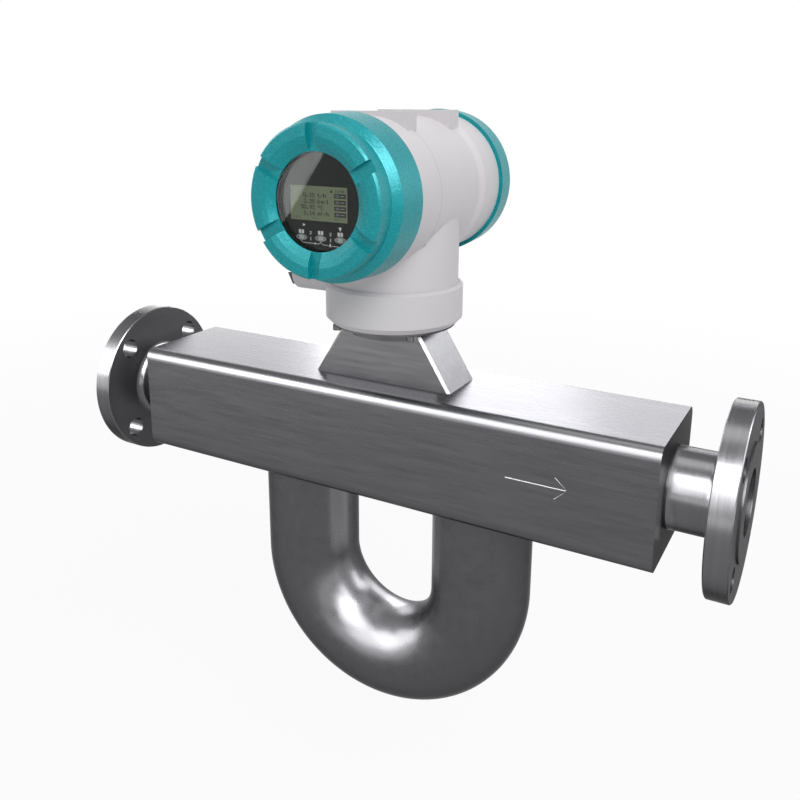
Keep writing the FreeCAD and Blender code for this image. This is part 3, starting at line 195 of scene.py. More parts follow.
class Nodes(Graph):
    """The nodes of one material."""

    straight: dict[Grain, Place] = {Grain.ALONG_X: (20.0, 280.0, 280.0), Grain.PLAIN: (90.0,) * 3}
    turned: dict[Grain, Place] = {
        Grain.TURNED_X: (0.0, 0.0, 0.0),
        Grain.TURNED_Y: (-MID, 0.0, -HEAD_LEVEL),
        Grain.TURNED_Z: (-MID, 0.0, 0.0),
    }
    turning_marks: float = 700.0
    turning_wander: float = 0.8

    def __init__(self, name: str) -> None:
        """Start a material with its main shader and the object coordinates.

        Args:
            name: the material's name.
        """
        self.material = bpy.data.materials.new(name)
        self.material.use_nodes = True
        super().__init__(self.material.node_tree)
        self.shader = self.tree.nodes["Principled BSDF"]
        self.place = self.add("TexCoord").outputs["Object"]
        self.x, self.y, self.z = self.add("SeparateXYZ", {"Vector": self.place}).outputs

    def vector(self, operation: str, *values: object) -> Socket:
        """Join vectors by one operation."""
        return self.first("VectorMath", dict(enumerate(values)), operation=operation)

    def noise(self, vector: object, scale: float, detail: float = 3.0) -> Socket:
        """Smooth random values from 0 to 1."""
        inputs = {"Vector": vector, "Scale": scale, "Detail": detail, "Roughness": 0.6}
        return self.first("TexNoise", inputs)

    def mix(self, share: object, first: object, second: object) -> Socket:
        """Mix two colours."""
        return self.add("Mix", {0: share, 6: first, 7: second}, data_type="RGBA").outputs[2]

    def varied(
        self, colour: Colour, low: float, high: float, scale: float, detail: float = 2.0
    ) -> Socket:
        """Let a colour's brightness drift softly from low to high."""
        share = self.ramp(self.noise(self.place, scale, detail), 0.3, 0.7)
        return self.mix(share, shaded(colour, low), shaded(colour, high))

    def bump(self, height: object, strength: float, depth: float, below: object = None) -> Socket:
        """Raise a surface by a height pattern.

        Args:
            height: the pattern.
            strength: how much of it shows.
            depth: height of a full step, in metres.
            below: another raised surface that it lies on.

        Returns:
            The raised surface's normal.
        """
        inputs = {"Height": height, "Strength": strength, "Distance": depth}
        if below is not None:
            inputs["Normal"] = below
        return self.first("Bump", inputs)

    def radius(self, first: object, second: object) -> Socket:
        """Distance from the axis that two coordinates are square to."""
        squares = [self.math("MULTIPLY", c, c) for c in (first, second)]
        return self.math("SQRT", self.math("ADD", *squares))

    def grained(self, grain: Grain) -> Socket:
        """Stretch the coordinates so that noise runs along the marks of making.

        Args:
            grain: how the marks run.

        Returns:
            The stretched coordinates.
        """
        if grain in self.straight:
            return self.vector("MULTIPLY", self.place, self.straight[grain])
        moved = self.vector("ADD", self.place, self.turned[grain])
        x, y, z = self.add("SeparateXYZ", {"Vector": moved}).outputs
        along, across = {
            Grain.TURNED_X: (x, (y, z)),
            Grain.TURNED_Y: (y, (x, z)),
            Grain.TURNED_Z: (z, (x, y)),
        }[grain]
        parts = (
            self.math("MULTIPLY", along, self.turning_marks),
            self.math("MULTIPLY", self.radius(*across), self.turning_marks),
            self.math("MULTIPLY", self.math("ARCTAN2", *across), self.turning_wander),
        )
        return self.first("CombineXYZ", dict(enumerate(parts)))

    def blend(self, share: Socket, under: Socket, over: Socket) -> None:
        """Show a blend of two shaders as the surface."""
        both = self.first("MixShader", {0: share, 1: under, 2: over})
        self.feed(self.tree.nodes["Material Output"].inputs["Surface"], both)

    def set(self, **values: object) -> None:
        """Feed the main shader's sockets, written with _ for a space."""
        for name, value in values.items():
            self.feed(self.shader.inputs[name.replace("_", " ")], value)


@dataclass(frozen=True)
class Look:
    """What all finishes share."""

    name: str

    def material(self) -> bpy.types.Material:
        """Build the material.

        Returns:
            The new material.
        """
        n = Nodes(self.name)
        self.paint(n)
        return n.material

    def paint(self, n: Nodes) -> None:
        """Feed the new material's shader."""
        raise NotImplementedError


@dataclass(frozen=True)
class Metal(Look):
    """Bare metal with the grain of its making."""

    colour: Colour = tone(82, 82, 84)
    roughness: float = 0.27
    grain: Grain = Grain.ALONG_X
    streaks: float = 0.04
    depth: float = 6e-6
    sheen: float = 0.9
    edge: Colour = (0.35, 0.35, 0.35)
    # Share of the colour on faces that look along the pipe: painted shade.
    face_shade: float = 1.0
    duller: float = 0.14

    def paint(self, n: Nodes) -> None:
        """Grain the metal, with painted shade and more roughness on faces turned flat across the
        pipe.

        Args:
            n: the material's nodes.
        """
        marks = n.grained(self.grain)
        fine, smear, cloud = n.noise(marks, 1.0), n.noise(marks, 0.45), n.noise(n.place, 14.0)
        dark, light, bright = (shaded(self.colour, 1 + k * self.streaks) for k in (-1, 1, 1.8))
        streaked = n.mix(n.ramp(fine, 0.3, 0.7), dark, light)
        smeared = n.mix(n.ramp(smear, 0.52, 0.68), streaked, bright)
        base = n.mix(n.ramp(cloud, 0.3, 0.7, 0.0, 0.4), smeared, self.colour)
        gloss = n.ramp(fine, 0.25, 0.75, self.roughness - 0.03, self.roughness + 0.05)
        # Painted shade: faces that look along the pipe get a darker base colour.
        if self.face_shade < 1.0:
            along = n.first("SeparateXYZ", {0: n.add("NewGeometry").outputs["Normal"]})
            across = n.ramp(n.math("ABSOLUTE", along), 0.9, 1.0)
            base = n.mix(across, base, shaded(self.colour, self.face_shade))
            gloss = n.math("ADD", gloss, n.math("MULTIPLY", across, self.duller))
        n.set(
            Base_Color=base,
            Metallic=self.sheen,
            Specular_Tint=self.edge,
            Specular_IOR_Level=0.25,
            Roughness=gloss,
            Normal=n.bump(fine, 0.35, self.depth),
        )


@dataclass(frozen=True)
class FlakePaint(Look):
    """Glossy paint with glittering flakes in it."""

    colour: Colour = tone(2, 142, 149)
    # Lighter colour of some flakes: a painted glint.
    glint: Colour = tone(64, 180, 188)
    cell: float = 1500.0
    tilt: float = 0.13
    flakes: float = 0.12

    def paint(self, n: Nodes) -> None:
        """Lay flakes at every angle in the paint.

        Args:
            n: the material's nodes.
        """
        cells = n.add("TexVoronoi", {"Vector": n.place, "Scale": self.cell})
        chance = n.first("SeparateColor", {0: cells.outputs["Color"]})
        base = n.varied(self.colour, 0.94, 1.05, 9.0)
        leaning = n.vector("SUBTRACT", cells.outputs["Color"], (0.5,) * 3)
        leaning = n.vector("MULTIPLY", leaning, (self.tilt,) * 3)
        tilted = n.vector("ADD", leaning, n.add("NewGeometry").outputs["Normal"])
        peel = n.noise(n.place, 420.0, 1.0)
        # Painted glint: some flakes are mixed towards the glint colour; their tilted normals give
        # real glints as well.
        n.set(
            Base_Color=n.mix(n.ramp(chance, 0.6, 1.0, 0.0, 0.26), base, self.glint),
            Metallic=self.flakes,
            Specular_IOR_Level=0.25,
            Roughness=n.ramp(chance, 0.0, 1.0, 0.24, 0.4),
            Normal=n.bump(peel, 0.08, 0.00005, n.vector("NORMALIZE", tilted)),
        )


@dataclass(frozen=True)
class PowderCoat(Look):
    """Fine powder coat, with bare metal threads where the covers screw on."""

    colour: Colour = tone(214, 211, 214)
    bare: Colour = tone(150, 150, 152)
    front_seat: float = -72.6 * MM
    rear_seat: float = 81.6 * MM
    pitch: float = 2 * MM
    # Level and reach of the painted shade line where the front collar steps down.
    crease_shade: float = -32.3 * MM
    crease_radius: float = 61.7 * MM
    # Ends of the painted highlight band on the ramp up to the rear collar.
    highlight_start: Point = (41 * MM, 42 * MM)
    highlight_end: Point = (51 * MM, 53 * MM)

    def paint(self, n: Nodes) -> None:
        """Paint it matt, with threads, a painted shade line at the front step and a painted
        highlight band on the rear ramp.

        Args:
            n: the material's nodes.
        """
        peel = n.noise(n.place, 900.0, 2.0)
        paint = n.varied(self.colour, 0.97, 1.02, 11.0)
        ahead = n.math("LESS_THAN", n.y, self.front_seat)
        behind = n.math("GREATER_THAN", n.y, self.rear_seat)
        thread = n.math("MAXIMUM", ahead, behind)
        wave = n.math("SINE", n.math("MULTIPLY", n.y, 2 * math.pi / self.pitch))
        ridge = n.math("MULTIPLY", wave, thread)
        coat = n.bump(peel, 0.12, 0.00008)
        across = n.math("SUBTRACT", n.x, MID), n.math("SUBTRACT", n.z, HEAD_LEVEL)
        inside = n.math("LESS_THAN", n.radius(*across), self.crease_radius)
        # Painted shade: a dark line on the step between the front collar and the middle.
        off = n.math("ABSOLUTE", n.math("SUBTRACT", n.y, self.crease_shade))
        crease_shade = n.math("MULTIPLY", inside, n.ramp(off, 0.6 * MM, 1.7 * MM, 0.6, 0.0))
        # Painted highlight: a lighter band on the ramp up to the rear collar.
        band = n.math("SUBTRACT", n.ramp(n.y, *self.highlight_start), n.ramp(n.y, *self.highlight_end))
        highlighted = n.mix(n.math("MULTIPLY", band, inside), paint, shaded(self.colour, 1.09))
        painted = n.mix(crease_shade, highlighted, shaded(self.colour, 0.35))
        n.set(
            Base_Color=n.mix(thread, painted, self.bare),
            Metallic=thread,
            Specular_IOR_Level=0.2,
            Roughness=n.ramp(peel, 0.3, 0.7, 0.36, 0.46),
            Normal=n.bump(ridge, 0.6, 0.0004, coat),
        )


@dataclass(frozen=True)
class Moulded(Look):
    """Moulded plastic, rubber or enamel with a fine skin."""

    colour: Colour
    roughness: float = 0.4
    speck: float = 1400.0
    bump: float = 0.12
    shift: float = 0.06
    shine: float = 0.4

    def paint(self, n: Nodes) -> None:
        """Give it its skin.

        Args:
            n: the material's nodes.
        """
        skin = n.noise(n.place, self.speck, 2.0)
        n.set(
            Base_Color=n.varied(self.colour, 1 - self.shift, 1 + self.shift, 30.0),
            Roughness=n.ramp(skin, 0.3, 0.7, self.roughness - 0.05, self.roughness + 0.05),
            Specular_IOR_Level=self.shine,
            Normal=n.bump(skin, self.bump, 0.00006),
        )


@dataclass(frozen=True)
class ScreenGlow(Look):
    """Liquid crystal screen with its fine dot grid."""

    name: str = "screen_finish"
    colour: Colour = tone(134, 144, 115)
    pitch: float = 0.4 * MM

    def paint(self, n: Nodes) -> None:
        """Draw the dot grid.

        Args:
            n: the material's nodes.
        """
        lines = [n.math("PINGPONG", n.math("DIVIDE", c, self.pitch), 0.5) for c in (n.x, n.z)]
        grid = n.math("MINIMUM", *lines)
        plain = n.varied(self.colour, 0.95, 1.05, 25.0, 1.0)
        n.set(
            Base_Color=n.mix(n.ramp(grid, 0.0, 0.12, 0.25, 0.0), plain, shaded(self.colour, 0.6)),
            Roughness=n.ramp(grid, 0.0, 0.2, 0.5, 0.4),
            Specular_IOR_Level=0.12,
        )


@dataclass(frozen=True)
class ClearGlass(Look):
    """Thin coated window glass: clear, with a faint mirror image on it."""

    name: str = "window_finish"
    colour: Colour = (0.97, 0.98, 0.975)
    bend: float = 1.22

    def paint(self, n: Nodes) -> None:
        """Mirror a little and let the rest through.

        Args:
            n: the material's nodes.
        """
        smear = n.noise(n.place, 60.0, 2.0)
        n.set(
            Base_Color=(1.0, 1.0, 1.0),
            Metallic=1.0,
            Roughness=n.ramp(smear, 0.35, 0.75, 0.0, 0.012),
        )
        clear = n.first("BsdfTransparent", {"Color": self.colour})
        n.blend(n.first("Fresnel", {"IOR": self.bend}), clear, n.shader.outputs[0])


@dataclass(frozen=True)
class BoardLacquer(Look):
    """Green lacquer of a circuit board, with tracks under it."""

    name: str = "board_finish"
    colour: Colour = tone(28, 92, 58)
    track: Colour = tone(48, 122, 78)
    pitch: float = 1.9 * MM

    def paint(self, n: Nodes) -> None:
        """Lay tracks under the lacquer.

        Args:
            n: the material's nodes.
        """
        inputs = {"Vector": n.place, "Scale": 70.0}
        blocks = n.add("TexVoronoi", inputs, distance="MANHATTAN")
        choice = n.first("SeparateColor", {0: blocks.outputs["Color"]})
        upright = n.math("GREATER_THAN", choice, 0.5)
        side = n.math("PINGPONG", n.math("DIVIDE", n.x, self.pitch), 0.5)
        rise = n.math("PINGPONG", n.math("DIVIDE", n.z, self.pitch), 0.5)
        turned = n.first("Mix", {0: upright, 2: rise, 3: side})
        line = n.ramp(turned, 0.16, 0.2, 1.0, 0.0)
        n.set(
            Base_Color=n.mix(line, self.colour, self.track),
            Roughness=n.ramp(line, 0.0, 1.0, 0.38, 0.3),
            Normal=n.bump(line, 0.5, 0.00004),
        )


@dataclass(frozen=True)
class Winding(Look):
    """Lacquered copper wire lying turn by turn."""

    name: str = "winding_finish"
    colour: Colour = tone(184, 104, 58)

    def paint(self, n: Nodes) -> None:
        """Shade the turns.

        Args:
            n: the material's nodes.
        """
        shade = n.noise(n.vector("MULTIPLY", n.place, (1.0, 12.0, 1.0)), 160.0, 2.0)
        n.set(
            Base_Color=n.mix(shade, shaded(self.colour, 0.75), shaded(self.colour, 1.15)),
            Metallic=0.85,
            Roughness=n.ramp(shade, 0.2, 0.8, 0.22, 0.36),
        )


@dataclass(frozen=True)
class WireBundle(Look):
    """Insulated wires of several colours, laid side by side up a sleeve."""

    name: str = "wire_finish"
    twist: float = 120.0
    shades: tuple[Colour, ...] = tuple(
        tone(*shade)
        for shade in ((150, 30, 28), (30, 60, 140), (214, 206, 190), (36, 36, 38), (40, 110, 60))
    )

    def paint(self, n: Nodes) -> None:
        """Band the sleeve in the wires' colours.

        Args:
            n: the material's nodes.
        """
        angle = n.math("ARCTAN2", n.y, n.math("SUBTRACT", n.x, MID))
        twist = n.math("ADD", angle, n.math("MULTIPLY", n.z, self.twist))
        turn = n.math("FRACT", n.math("DIVIDE", twist, 2 * math.pi))
        ramp = n.add("ValToRGB", {0: turn})
        bands = ramp.color_ramp
        bands.interpolation = "CONSTANT"
        count = len(self.shades)
        bands.elements[1].position = 1 / count
        for number in range(2, count):
            bands.elements.new(number / count)
        for band, shade in zip(bands.elements, self.shades):
            band.color = (*shade, 1.0)
        groove = n.math("PINGPONG", n.math("MULTIPLY", turn, float(count)), 0.5)
        n.set(
            Base_Color=ramp.outputs[0],
            Roughness=n.ramp(groove, 0.0, 0.5, 0.55, 0.35),
            Normal=n.bump(groove, 0.6, 0.0006),
        )


class Finish(Enum):
    """Every finish of the meter by its use."""

    SHELL = Metal("shell_finish")
    LOOP = Metal("loop_finish", tone(78, 78, 80), 0.28, Grain.PLAIN, 0.025, 2e-6, 0.8)
    # The flanges and end plates get painted shade on their faces that look along the pipe.
    FLANGE = Metal(
        "flange_finish", tone(96, 96, 98), 0.22, Grain.TURNED_X, 0.07, 6e-6, 0.78, (0.0,) * 3, 0.55
    )
    END_PLATE = Metal("end_plate_finish", face_shade=0.65)
    PEDESTAL = Metal("pedestal_finish", tone(88, 88, 90), 0.3, Grain.ALONG_X, 0.08)
    COLLAR = Metal("collar_finish", tone(70, 70, 72), 0.35, Grain.TURNED_Z)
    INLAY = Metal("inlay_finish", tone(205, 205, 208), 0.4, Grain.ALONG_X, 0.03)
    TUBE = Metal("tube_finish", tone(150, 150, 154), 0.18, Grain.ALONG_X, 0.08, 0.00001)
    BLOCK = Metal("splitter_finish", tone(120, 120, 122), 0.3, Grain.TURNED_X)
    MAGNET = Metal("magnet_finish", tone(140, 140, 138), 0.16, Grain.TURNED_Y, 0.05)
    HEADER = Metal("header_finish", tone(128, 126, 120), 0.28, Grain.TURNED_Z)
    RING = Metal("retainer_finish", tone(58, 60, 62), 0.32, Grain.TURNED_Y)
    SCREW = Metal("screw_finish", tone(84, 83, 82), 0.24, Grain.TURNED_Z)
    LUG = Metal("lug_finish", tone(168, 158, 132), 0.25, Grain.TURNED_Y)
    PLUG = Metal("plug_finish", tone(88, 88, 88), 0.3, Grain.TURNED_X)
    SOCKET = Moulded("socket_finish", tone(20, 20, 21), 0.6)
    GREY = PowderCoat("grey_finish")
    TEAL = FlakePaint("teal_finish")
    WINDOW = ClearGlass()
    RUBBER = Moulded("rubber_finish", tone(26, 26, 27), 0.62, 900.0, 0.2)
    HOOD = Moulded("hood_finish", tone(13, 14, 14), 0.4, 2200.0, 0.03, 0.04, 0.08)
    SCREEN = ScreenGlow()
    # Light grey keys: their colour is a painted glint on each key.
    KEY = Moulded("key_finish", tone(196, 200, 202), 0.12, 1800.0, 0.02)
    BOARD = BoardLacquer()
    CASSETTE = Moulded("cassette_finish", tone(52, 54, 58), 0.5)
    SENSOR = Moulded("sensor_finish", tone(176, 120, 40), 0.4)
    COIL = Winding()
    WIRE = WireBundle()
    TERMINAL = Moulded("terminal_finish", tone(62, 118, 84), 0.42)
    CHIP = Moulded("chip_finish", tone(30, 30, 32), 0.4, 2600.0)
    WHITE = Moulded("white_print_finish", tone(232, 232, 230), 0.45, 2600.0, 0.05, 0.03)
    GREY_PRINT = Moulded("grey_print_finish", tone(150, 152, 152), 0.4, 2600.0, 0.05)
    FAINT_PRINT = Moulded("faint_print_finish", tone(52, 53, 54), 0.3, 2600.0, 0.05)
    DARK_PRINT = Moulded("dark_print_finish", tone(12, 13, 10), 0.5, 2600.0, 0.05)

    def material(self) -> bpy.types.Material:
        """Give this finish's material, and make it the first time."""
        return bpy.data.materials.get(self.value.name) or self.value.material()


def dress(finish: Finish, *nodes: str) -> None:
    """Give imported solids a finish.

    Args:
        finish: the finish.
        *nodes: names of the solids.
    """
    for name in nodes:
        slots = frame["nodes"][name].data.materials
        slots.clear()
        slots.append(finish.material())


def new_piece(name: str, mesh: bpy.types.Mesh, finish: Finish, body: str) -> bpy.types.Object:
    """Put a finished mesh in the scene as a piece of one body.

    Args:
        name: the piece's name.
        mesh: its mesh, with its place in its points.
        finish: its finish.
        body: the body that it moves with.

    Returns:
        The new object.
    """
    mesh.name = name
    mesh.materials.clear()
    mesh.materials.append(finish.material())
    piece = in_scene(name, mesh)
    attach(piece, body)
    log.info("piece %s on %s: %d faces", name, body, len(mesh.polygons))
    return piece


DOTS = {
    "0": "01110 10001 10001 10001 10001 10001 01110",
    "1": "00100 01100 00100 00100 00100 00100 01110",
    "2": "01110 10001 00001 00010 00100 01000 11111",
    "3": "11111 00010 00100 00010 00001 10001 01110",
    "4": "00010 00110 01010 10010 11111 00010 00010",
    "5": "11111 10000 11110 00001 00001 10001 01110",
    "9": "01110 10001 10001 01111 00001 00010 01100",
    ".": "00000 00000 00000 00000 00000 01100 01100",
    ":": "00000 01100 01100 00000 01100 01100 00000",
    "/": "00000 00001 00010 00100 01000 10000 00000",
    "°": "01100 10010 10010 01100 00000 00000 00000",
    "³": "11100 00100 01100 00100 11100 00000 00000",
    "C": "01110 10001 10000 10000 10000 10001 01110",
    "g": "00000 00000 01111 10001 01111 00001 01110",
    "h": "10000 10000 10110 11001 10001 10001 10001",
    "k": "10000 10000 10010 10100 11000 10100 10010",
    "l": "01100 00100 00100 00100 00100 00100 01110",
    "m": "00000 00000 11010 10101 10101 10001 10001",
    "t": "01000 01000 11100 01000 01000 01001 00110",
}


class Print:
    """Thin artwork printed on a plane that faces the front."""

    steps: int = 40
    back_corner: float = 2.3

    def __init__(self, level: float, thickness: float = INK) -> None:
        """Start artwork.

        Args:
            level: the y of its back.
            thickness: how far it stands out.
        """
        self.level = level
        self.thickness = thickness
        self.shape = bmesh.new()

    def outline(self, points: Iterable[Point]) -> None:
        """Add one filled outline of x and z points."""
        corners = [self.shape.verts.new((x, self.level, z)) for x, z in points]
        self.shape.faces.new(corners)

    def rectangle(self, x: float, z: float, wide: float, high: float) -> None:
        """Add a rectangle about its middle."""
        w, h = wide / 2, high / 2
        self.outline([(x - w, z - h), (x + w, z - h), (x + w, z + h), (x - w, z + h)])

    def triangle(self, x: float, z: float, size: float, turn: float) -> None:
        """Add a triangle whose tip points along an angle from +x."""
        angles = (turn, turn + self.back_corner, turn - self.back_corner)
        self.outline([(x + size * math.cos(a), z + size * math.sin(a)) for a in angles])

    def line(self, start: Point, end: Point, wide: float) -> None:
        """Add a straight line with square ends.

        Args:
            start: one end's x and z.
            end: the other end's x and z.
            wide: its width.
        """
        along = Vector((end[0] - start[0], end[1] - start[1])).normalized() * wide / 2
        side = Vector((-along.y, along.x))
        a, b = Vector(start) - along, Vector(end) + along
        self.outline([tuple(a - side), tuple(b - side), tuple(b + side), tuple(a + side)])

    def oval(self, x: float, z: float, wide: float, high: float, share: float) -> None:
        """Add an oval ring.

        Args:
            x: middle across.
            z: middle upwards.
            wide: full width.
            high: full height.
            share: size of its inside against its outside.
        """
        angles = [2 * math.pi * step / self.steps for step in range(self.steps)]
        outer, inner = (
            [(x + math.cos(a) * wide / 2 * part, z + math.sin(a) * high / 2 * part) for a in angles]
            for part in (1.0, share)
        )
        for k in range(self.steps):
            j = (k + 1) % self.steps
            self.outline([outer[k], outer[j], inner[j], inner[k]])

    def text(self, words: str, x: float, z: float, high: float, pitch: float = 0.0) -> None:
        """Add dot matrix characters with their lower left corner at x and z.

        Args:
            words: plain numbers and units.
            x: left end.
            z: foot of the characters.
            high: height of a character.
            pitch: step from one character to the next, or 0 for the usual one.
        """
        dot = high / 7
        for place, sign in enumerate(words):
            left = x + place * (pitch or 6 * dot)
            for row, dots in enumerate(DOTS.get(sign, "").split()):
                level = z + (6.5 - row) * dot
                for run in re.finditer("1+", dots):
                    middle = left + (run.start() + run.end()) / 2 * dot
                    self.rectangle(middle, level, (run.end() - run.start() + 0.5) * dot, dot)

    def finish(self, name: str, finish: Finish, body: str, slot: str) -> None:
        """Give the artwork its thickness and hang it on its body.

        Args:
            name: the piece's name.
            finish: its finish.
            body: the body that it moves with.
            slot: the record's material slot, which is not used.
        """
        shape = self.shape
        bmesh.ops.remove_doubles(shape, verts=shape.verts, dist=0.002 * MM)
        for face in shape.faces:
            face.normal_update()
            if face.normal.y > 0:
                face.normal_flip()
        fronts = list(shape.faces)
        raised = bmesh.ops.extrude_face_region(shape, geom=fronts, use_keep_orig=True)
        tops = [g for g in raised["geom"] if isinstance(g, bmesh.types.BMVert)]
        bmesh.ops.translate(shape, verts=tops, vec=(0.0, -self.thickness, 0.0))
        bmesh.ops.recalc_face_normals(shape, faces=shape.faces)
        mesh = bpy.data.meshes.new(name)
        shape.to_mesh(mesh)
        shape.free()
        new_piece(name, mesh, finish, body)


class Pattern(Graph):
    """A Geometry Nodes tree that repeats one small form, with named inputs for its sizes."""

    family: str = "GeometryNode"
    kinds: dict[type, str] = {int: "Int", float: "Float", tuple: "Vector"}

    def __init__(self, name: str, sizes: dict[str, object]) -> None:
        """Start a tree with a mesh input, its sizes and a finish.

        Args:
            name: the tree's name.
            sizes: the values of its other inputs by name.
        """
        super().__init__(bpy.data.node_groups.new(name, "GeometryNodeTree"))
        self.sizes = sizes
        kinds = {label: self.kinds[type(value)] for label, value in sizes.items()}
        new_socket = self.tree.interface.new_socket
        self.sockets = {
            label: new_socket(label, in_out="INPUT", socket_type="NodeSocket" + kind).identifier
            for label, kind in {"Geometry": "Geometry", **kinds, "Finish": "Material"}.items()
        }
        new_socket("Geometry", in_out="OUTPUT", socket_type="NodeSocketGeometry")
        self.given = self.add("NodeGroupInput").outputs

    def spread(self, form: Socket, **inputs: object) -> None:
        """Set a form on every given point, and end the tree in real geometry with its finish.

        Args:
            form: the form.
            **inputs: more inputs of the step that sets it, such as its scale.
        """
        inputs |= {"Points": self.given["Geometry"], "Instance": form}
        placed = self.first("InstanceOnPoints", inputs)
        real = self.first("RealizeInstances", {"Geometry": placed})
        inputs = {"Geometry": real, "Material": self.given["Finish"]}
        self.feed(self.add("NodeGroupOutput").inputs[0], self.first("SetMaterial", inputs))

    def grow(
        self, name: str, points: Iterable[Vector], finish: Finish, body: str, slot: str
    ) -> None:
        """Run the tree on some points and keep its result as one plain piece.

        Args:
            name: the piece's name.
            points: the places that the tree starts from.
            finish: its finish.
            body: the body that it moves with.
            slot: the record's material slot, which is not used.
        """
        seeds = bpy.data.meshes.new(name + "_places")
        seeds.from_pydata([tuple(p) for p in points], [], [])
        holder = in_scene(name + "_places", seeds)
        modifier = holder.modifiers.new("Pattern", "NODES")
        modifier.node_group = self.tree
        for label, value in self.sizes.items():
            modifier[self.sockets[label]] = value
        modifier[self.sockets["Finish"]] = finish.material()
        bpy.context.view_layer.update()
        seen = holder.evaluated_get(bpy.context.evaluated_depsgraph_get())
        mesh = bpy.data.meshes.new_from_object(seen)
        bpy.data.objects.remove(holder)
        bpy.data.meshes.remove(seeds)
        new_piece(name, mesh, finish, body)


@dataclass
class SensorShell:
    """Welded shell of the sensor: beam, end plates, loop, pedestal and pipe flanges."""

    front: float = -55.5 * MM
    arrow_start: float = 131.7 * MM
    arrow_tip: float = 182.6 * MM
    arrow_level: float = 2.8 * MM
    arrow_barb: float = 10.5 * MM
    arrow_half: float = 8.9 * MM
    arrow_line: float = 0.7 * MM
    arrow_rise: float = 0.1 * MM
    shaft_stop: float = 1.5 * MM
    barb_stop: float = 1.0 * MM

    def build(self) -> None:
        """Dress the shell and fill the engraved arrow."""
        dress(Finish.SHELL, "beam_housing")
        dress(Finish.LOOP, "loop_housing")
        dress(Finish.END_PLATE, "inlet_end_plate", "outlet_end_plate")
        dress(Finish.PEDESTAL, "pedestal")
        dress(Finish.FLANGE, "inlet_flange", "outlet_flange")
        self.inlay()

    def inlay(self) -> None:
        """Lay a bright line in the engraved flow arrow."""
        art = Print(self.front, self.arrow_rise)
        tip, level, wide = MID + self.arrow_tip, self.arrow_level, self.arrow_line
        art.line((MID + self.arrow_start, level), (tip - self.shaft_stop, level), wide)
        for side in (-1, 1):
            start = (tip - self.arrow_barb, level + side * self.arrow_half)
            art.line(start, (tip - self.barb_stop, level), wide)
        art.finish("arrow_inlay", Finish.INLAY, "sensor", "machined_steel")


@dataclass
class MeasuringParts:
    """Tubes, splitters, coils, magnets and the wiring inside the sensor."""

    pickoff: Point = (114.6 * MM, -138.3 * MM)
    drive: Point = (0.0, -252.9 * MM)
    coil_start: float = 1.9 * MM
    coil_radius: float = 8.9 * MM
    wire: float = 0.3 * MM
    wire_pitch: float = 2.1
    turns: int = 11

    def build(self) -> None:
        """Dress the inner parts and wind the coils."""
        dress(Finish.TUBE, "front_measuring_tube", "rear_measuring_tube")
        dress(Finish.BLOCK, "inlet_splitter", "outlet_splitter")
        dress(Finish.BLOCK, "inlet_brace_bars", "outlet_brace_bars")
        dress(Finish.BLOCK, "magnet_brackets", "coil_brackets")
        dress(Finish.MAGNET, "drive_magnet", "inlet_pickoff_magnet", "outlet_pickoff_magnet")
        dress(Finish.COIL, "drive_coil", "inlet_pickoff_coil", "outlet_pickoff_coil")
        dress(Finish.SENSOR, "temperature_sensor")
        self.wind()

    def wind(self) -> None:
        """Wind wire round the three coils."""
        sizes = {
            "Turns": self.turns,
            "Pitch": (0.0, self.wire * self.wire_pitch, 0.0),
            "Ring Radius": self.coil_radius,
            "Wire Radius": self.wire,
        }
        pattern = Pattern("wire_turns", sizes)
        given = pattern.given
        ring, wire = (
            pattern.first("CurvePrimitiveCircle", {"Resolution": steps, "Radius": given[size]})
            for steps, size in ((36, "Ring Radius"), (6, "Wire Radius"))
        )
        turn = pattern.first("CurveToMesh", {0: ring, "Profile Curve": wire})
        tilted = pattern.first("Transform", {"Geometry": turn, "Rotation": (math.pi / 2, 0.0, 0.0)})
        row = pattern.first("MeshLine", {"Count": given["Turns"], "Offset": given["Pitch"]})
        pattern.spread(pattern.first("InstanceOnPoints", {"Points": row, "Instance": tilted}))
        x, z = self.pickoff
        places = [Vector((MID + s * x, self.coil_start, z)) for s in (-1, 1)]
        places.append(Vector((MID + self.drive[0], self.coil_start, self.drive[1])))
        pattern.grow("coil_wire", places, Finish.COIL, "rear_tube", "coil")


@dataclass
class Swivel:
    """Collar, clamp and screws that the head turns on."""

    socket: float = 2.3 * MM
    socket_depth: float = 0.04 * MM
    socket_shows: float = 0.01 * MM
    head_radius: float = 3.75 * MM

    def build(self) -> None:
        """Dress the swivel and add the screws' hex sockets."""
        dress(Finish.COLLAR, "swivel_collar", "clamp_ring")
        dress(Finish.RUBBER, "swivel_ring")
        dress(Finish.HEADER, "feedthrough")
        dress(Finish.SOCKET, "sensor_socket")
        dress(Finish.WIRE, "sensor_harness", "stem_harness")
        dress(Finish.SCREW, "clamp_screws")
        self.hex_sockets()

    def hex_sockets(self) -> None:
        """Mark the hex socket in each clamp screw's head."""
        pattern = Pattern("hex_sockets", {"Radius": self.socket, "Depth": self.socket_depth})
        given = pattern.given
        inputs = {"Vertices": 6, "Radius": given["Radius"], "Depth": given["Depth"]}
        pattern.spread(pattern.first("MeshCylinder", inputs))
        low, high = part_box("clamp_screws")
        middle, foot = (low + high) / 2, low.z - self.socket_shows
        across, along = ((b - a) / 2 - self.head_radius for a, b in zip(low.xy, high.xy))
        places = [
            Vector((middle.x + x * across, middle.y + y * along, foot))
            for x, y in product((-1, 1), repeat=2)
        ]
        pattern.grow("clamp_screw_sockets", places, Finish.SOCKET, "transmitter", "socket")


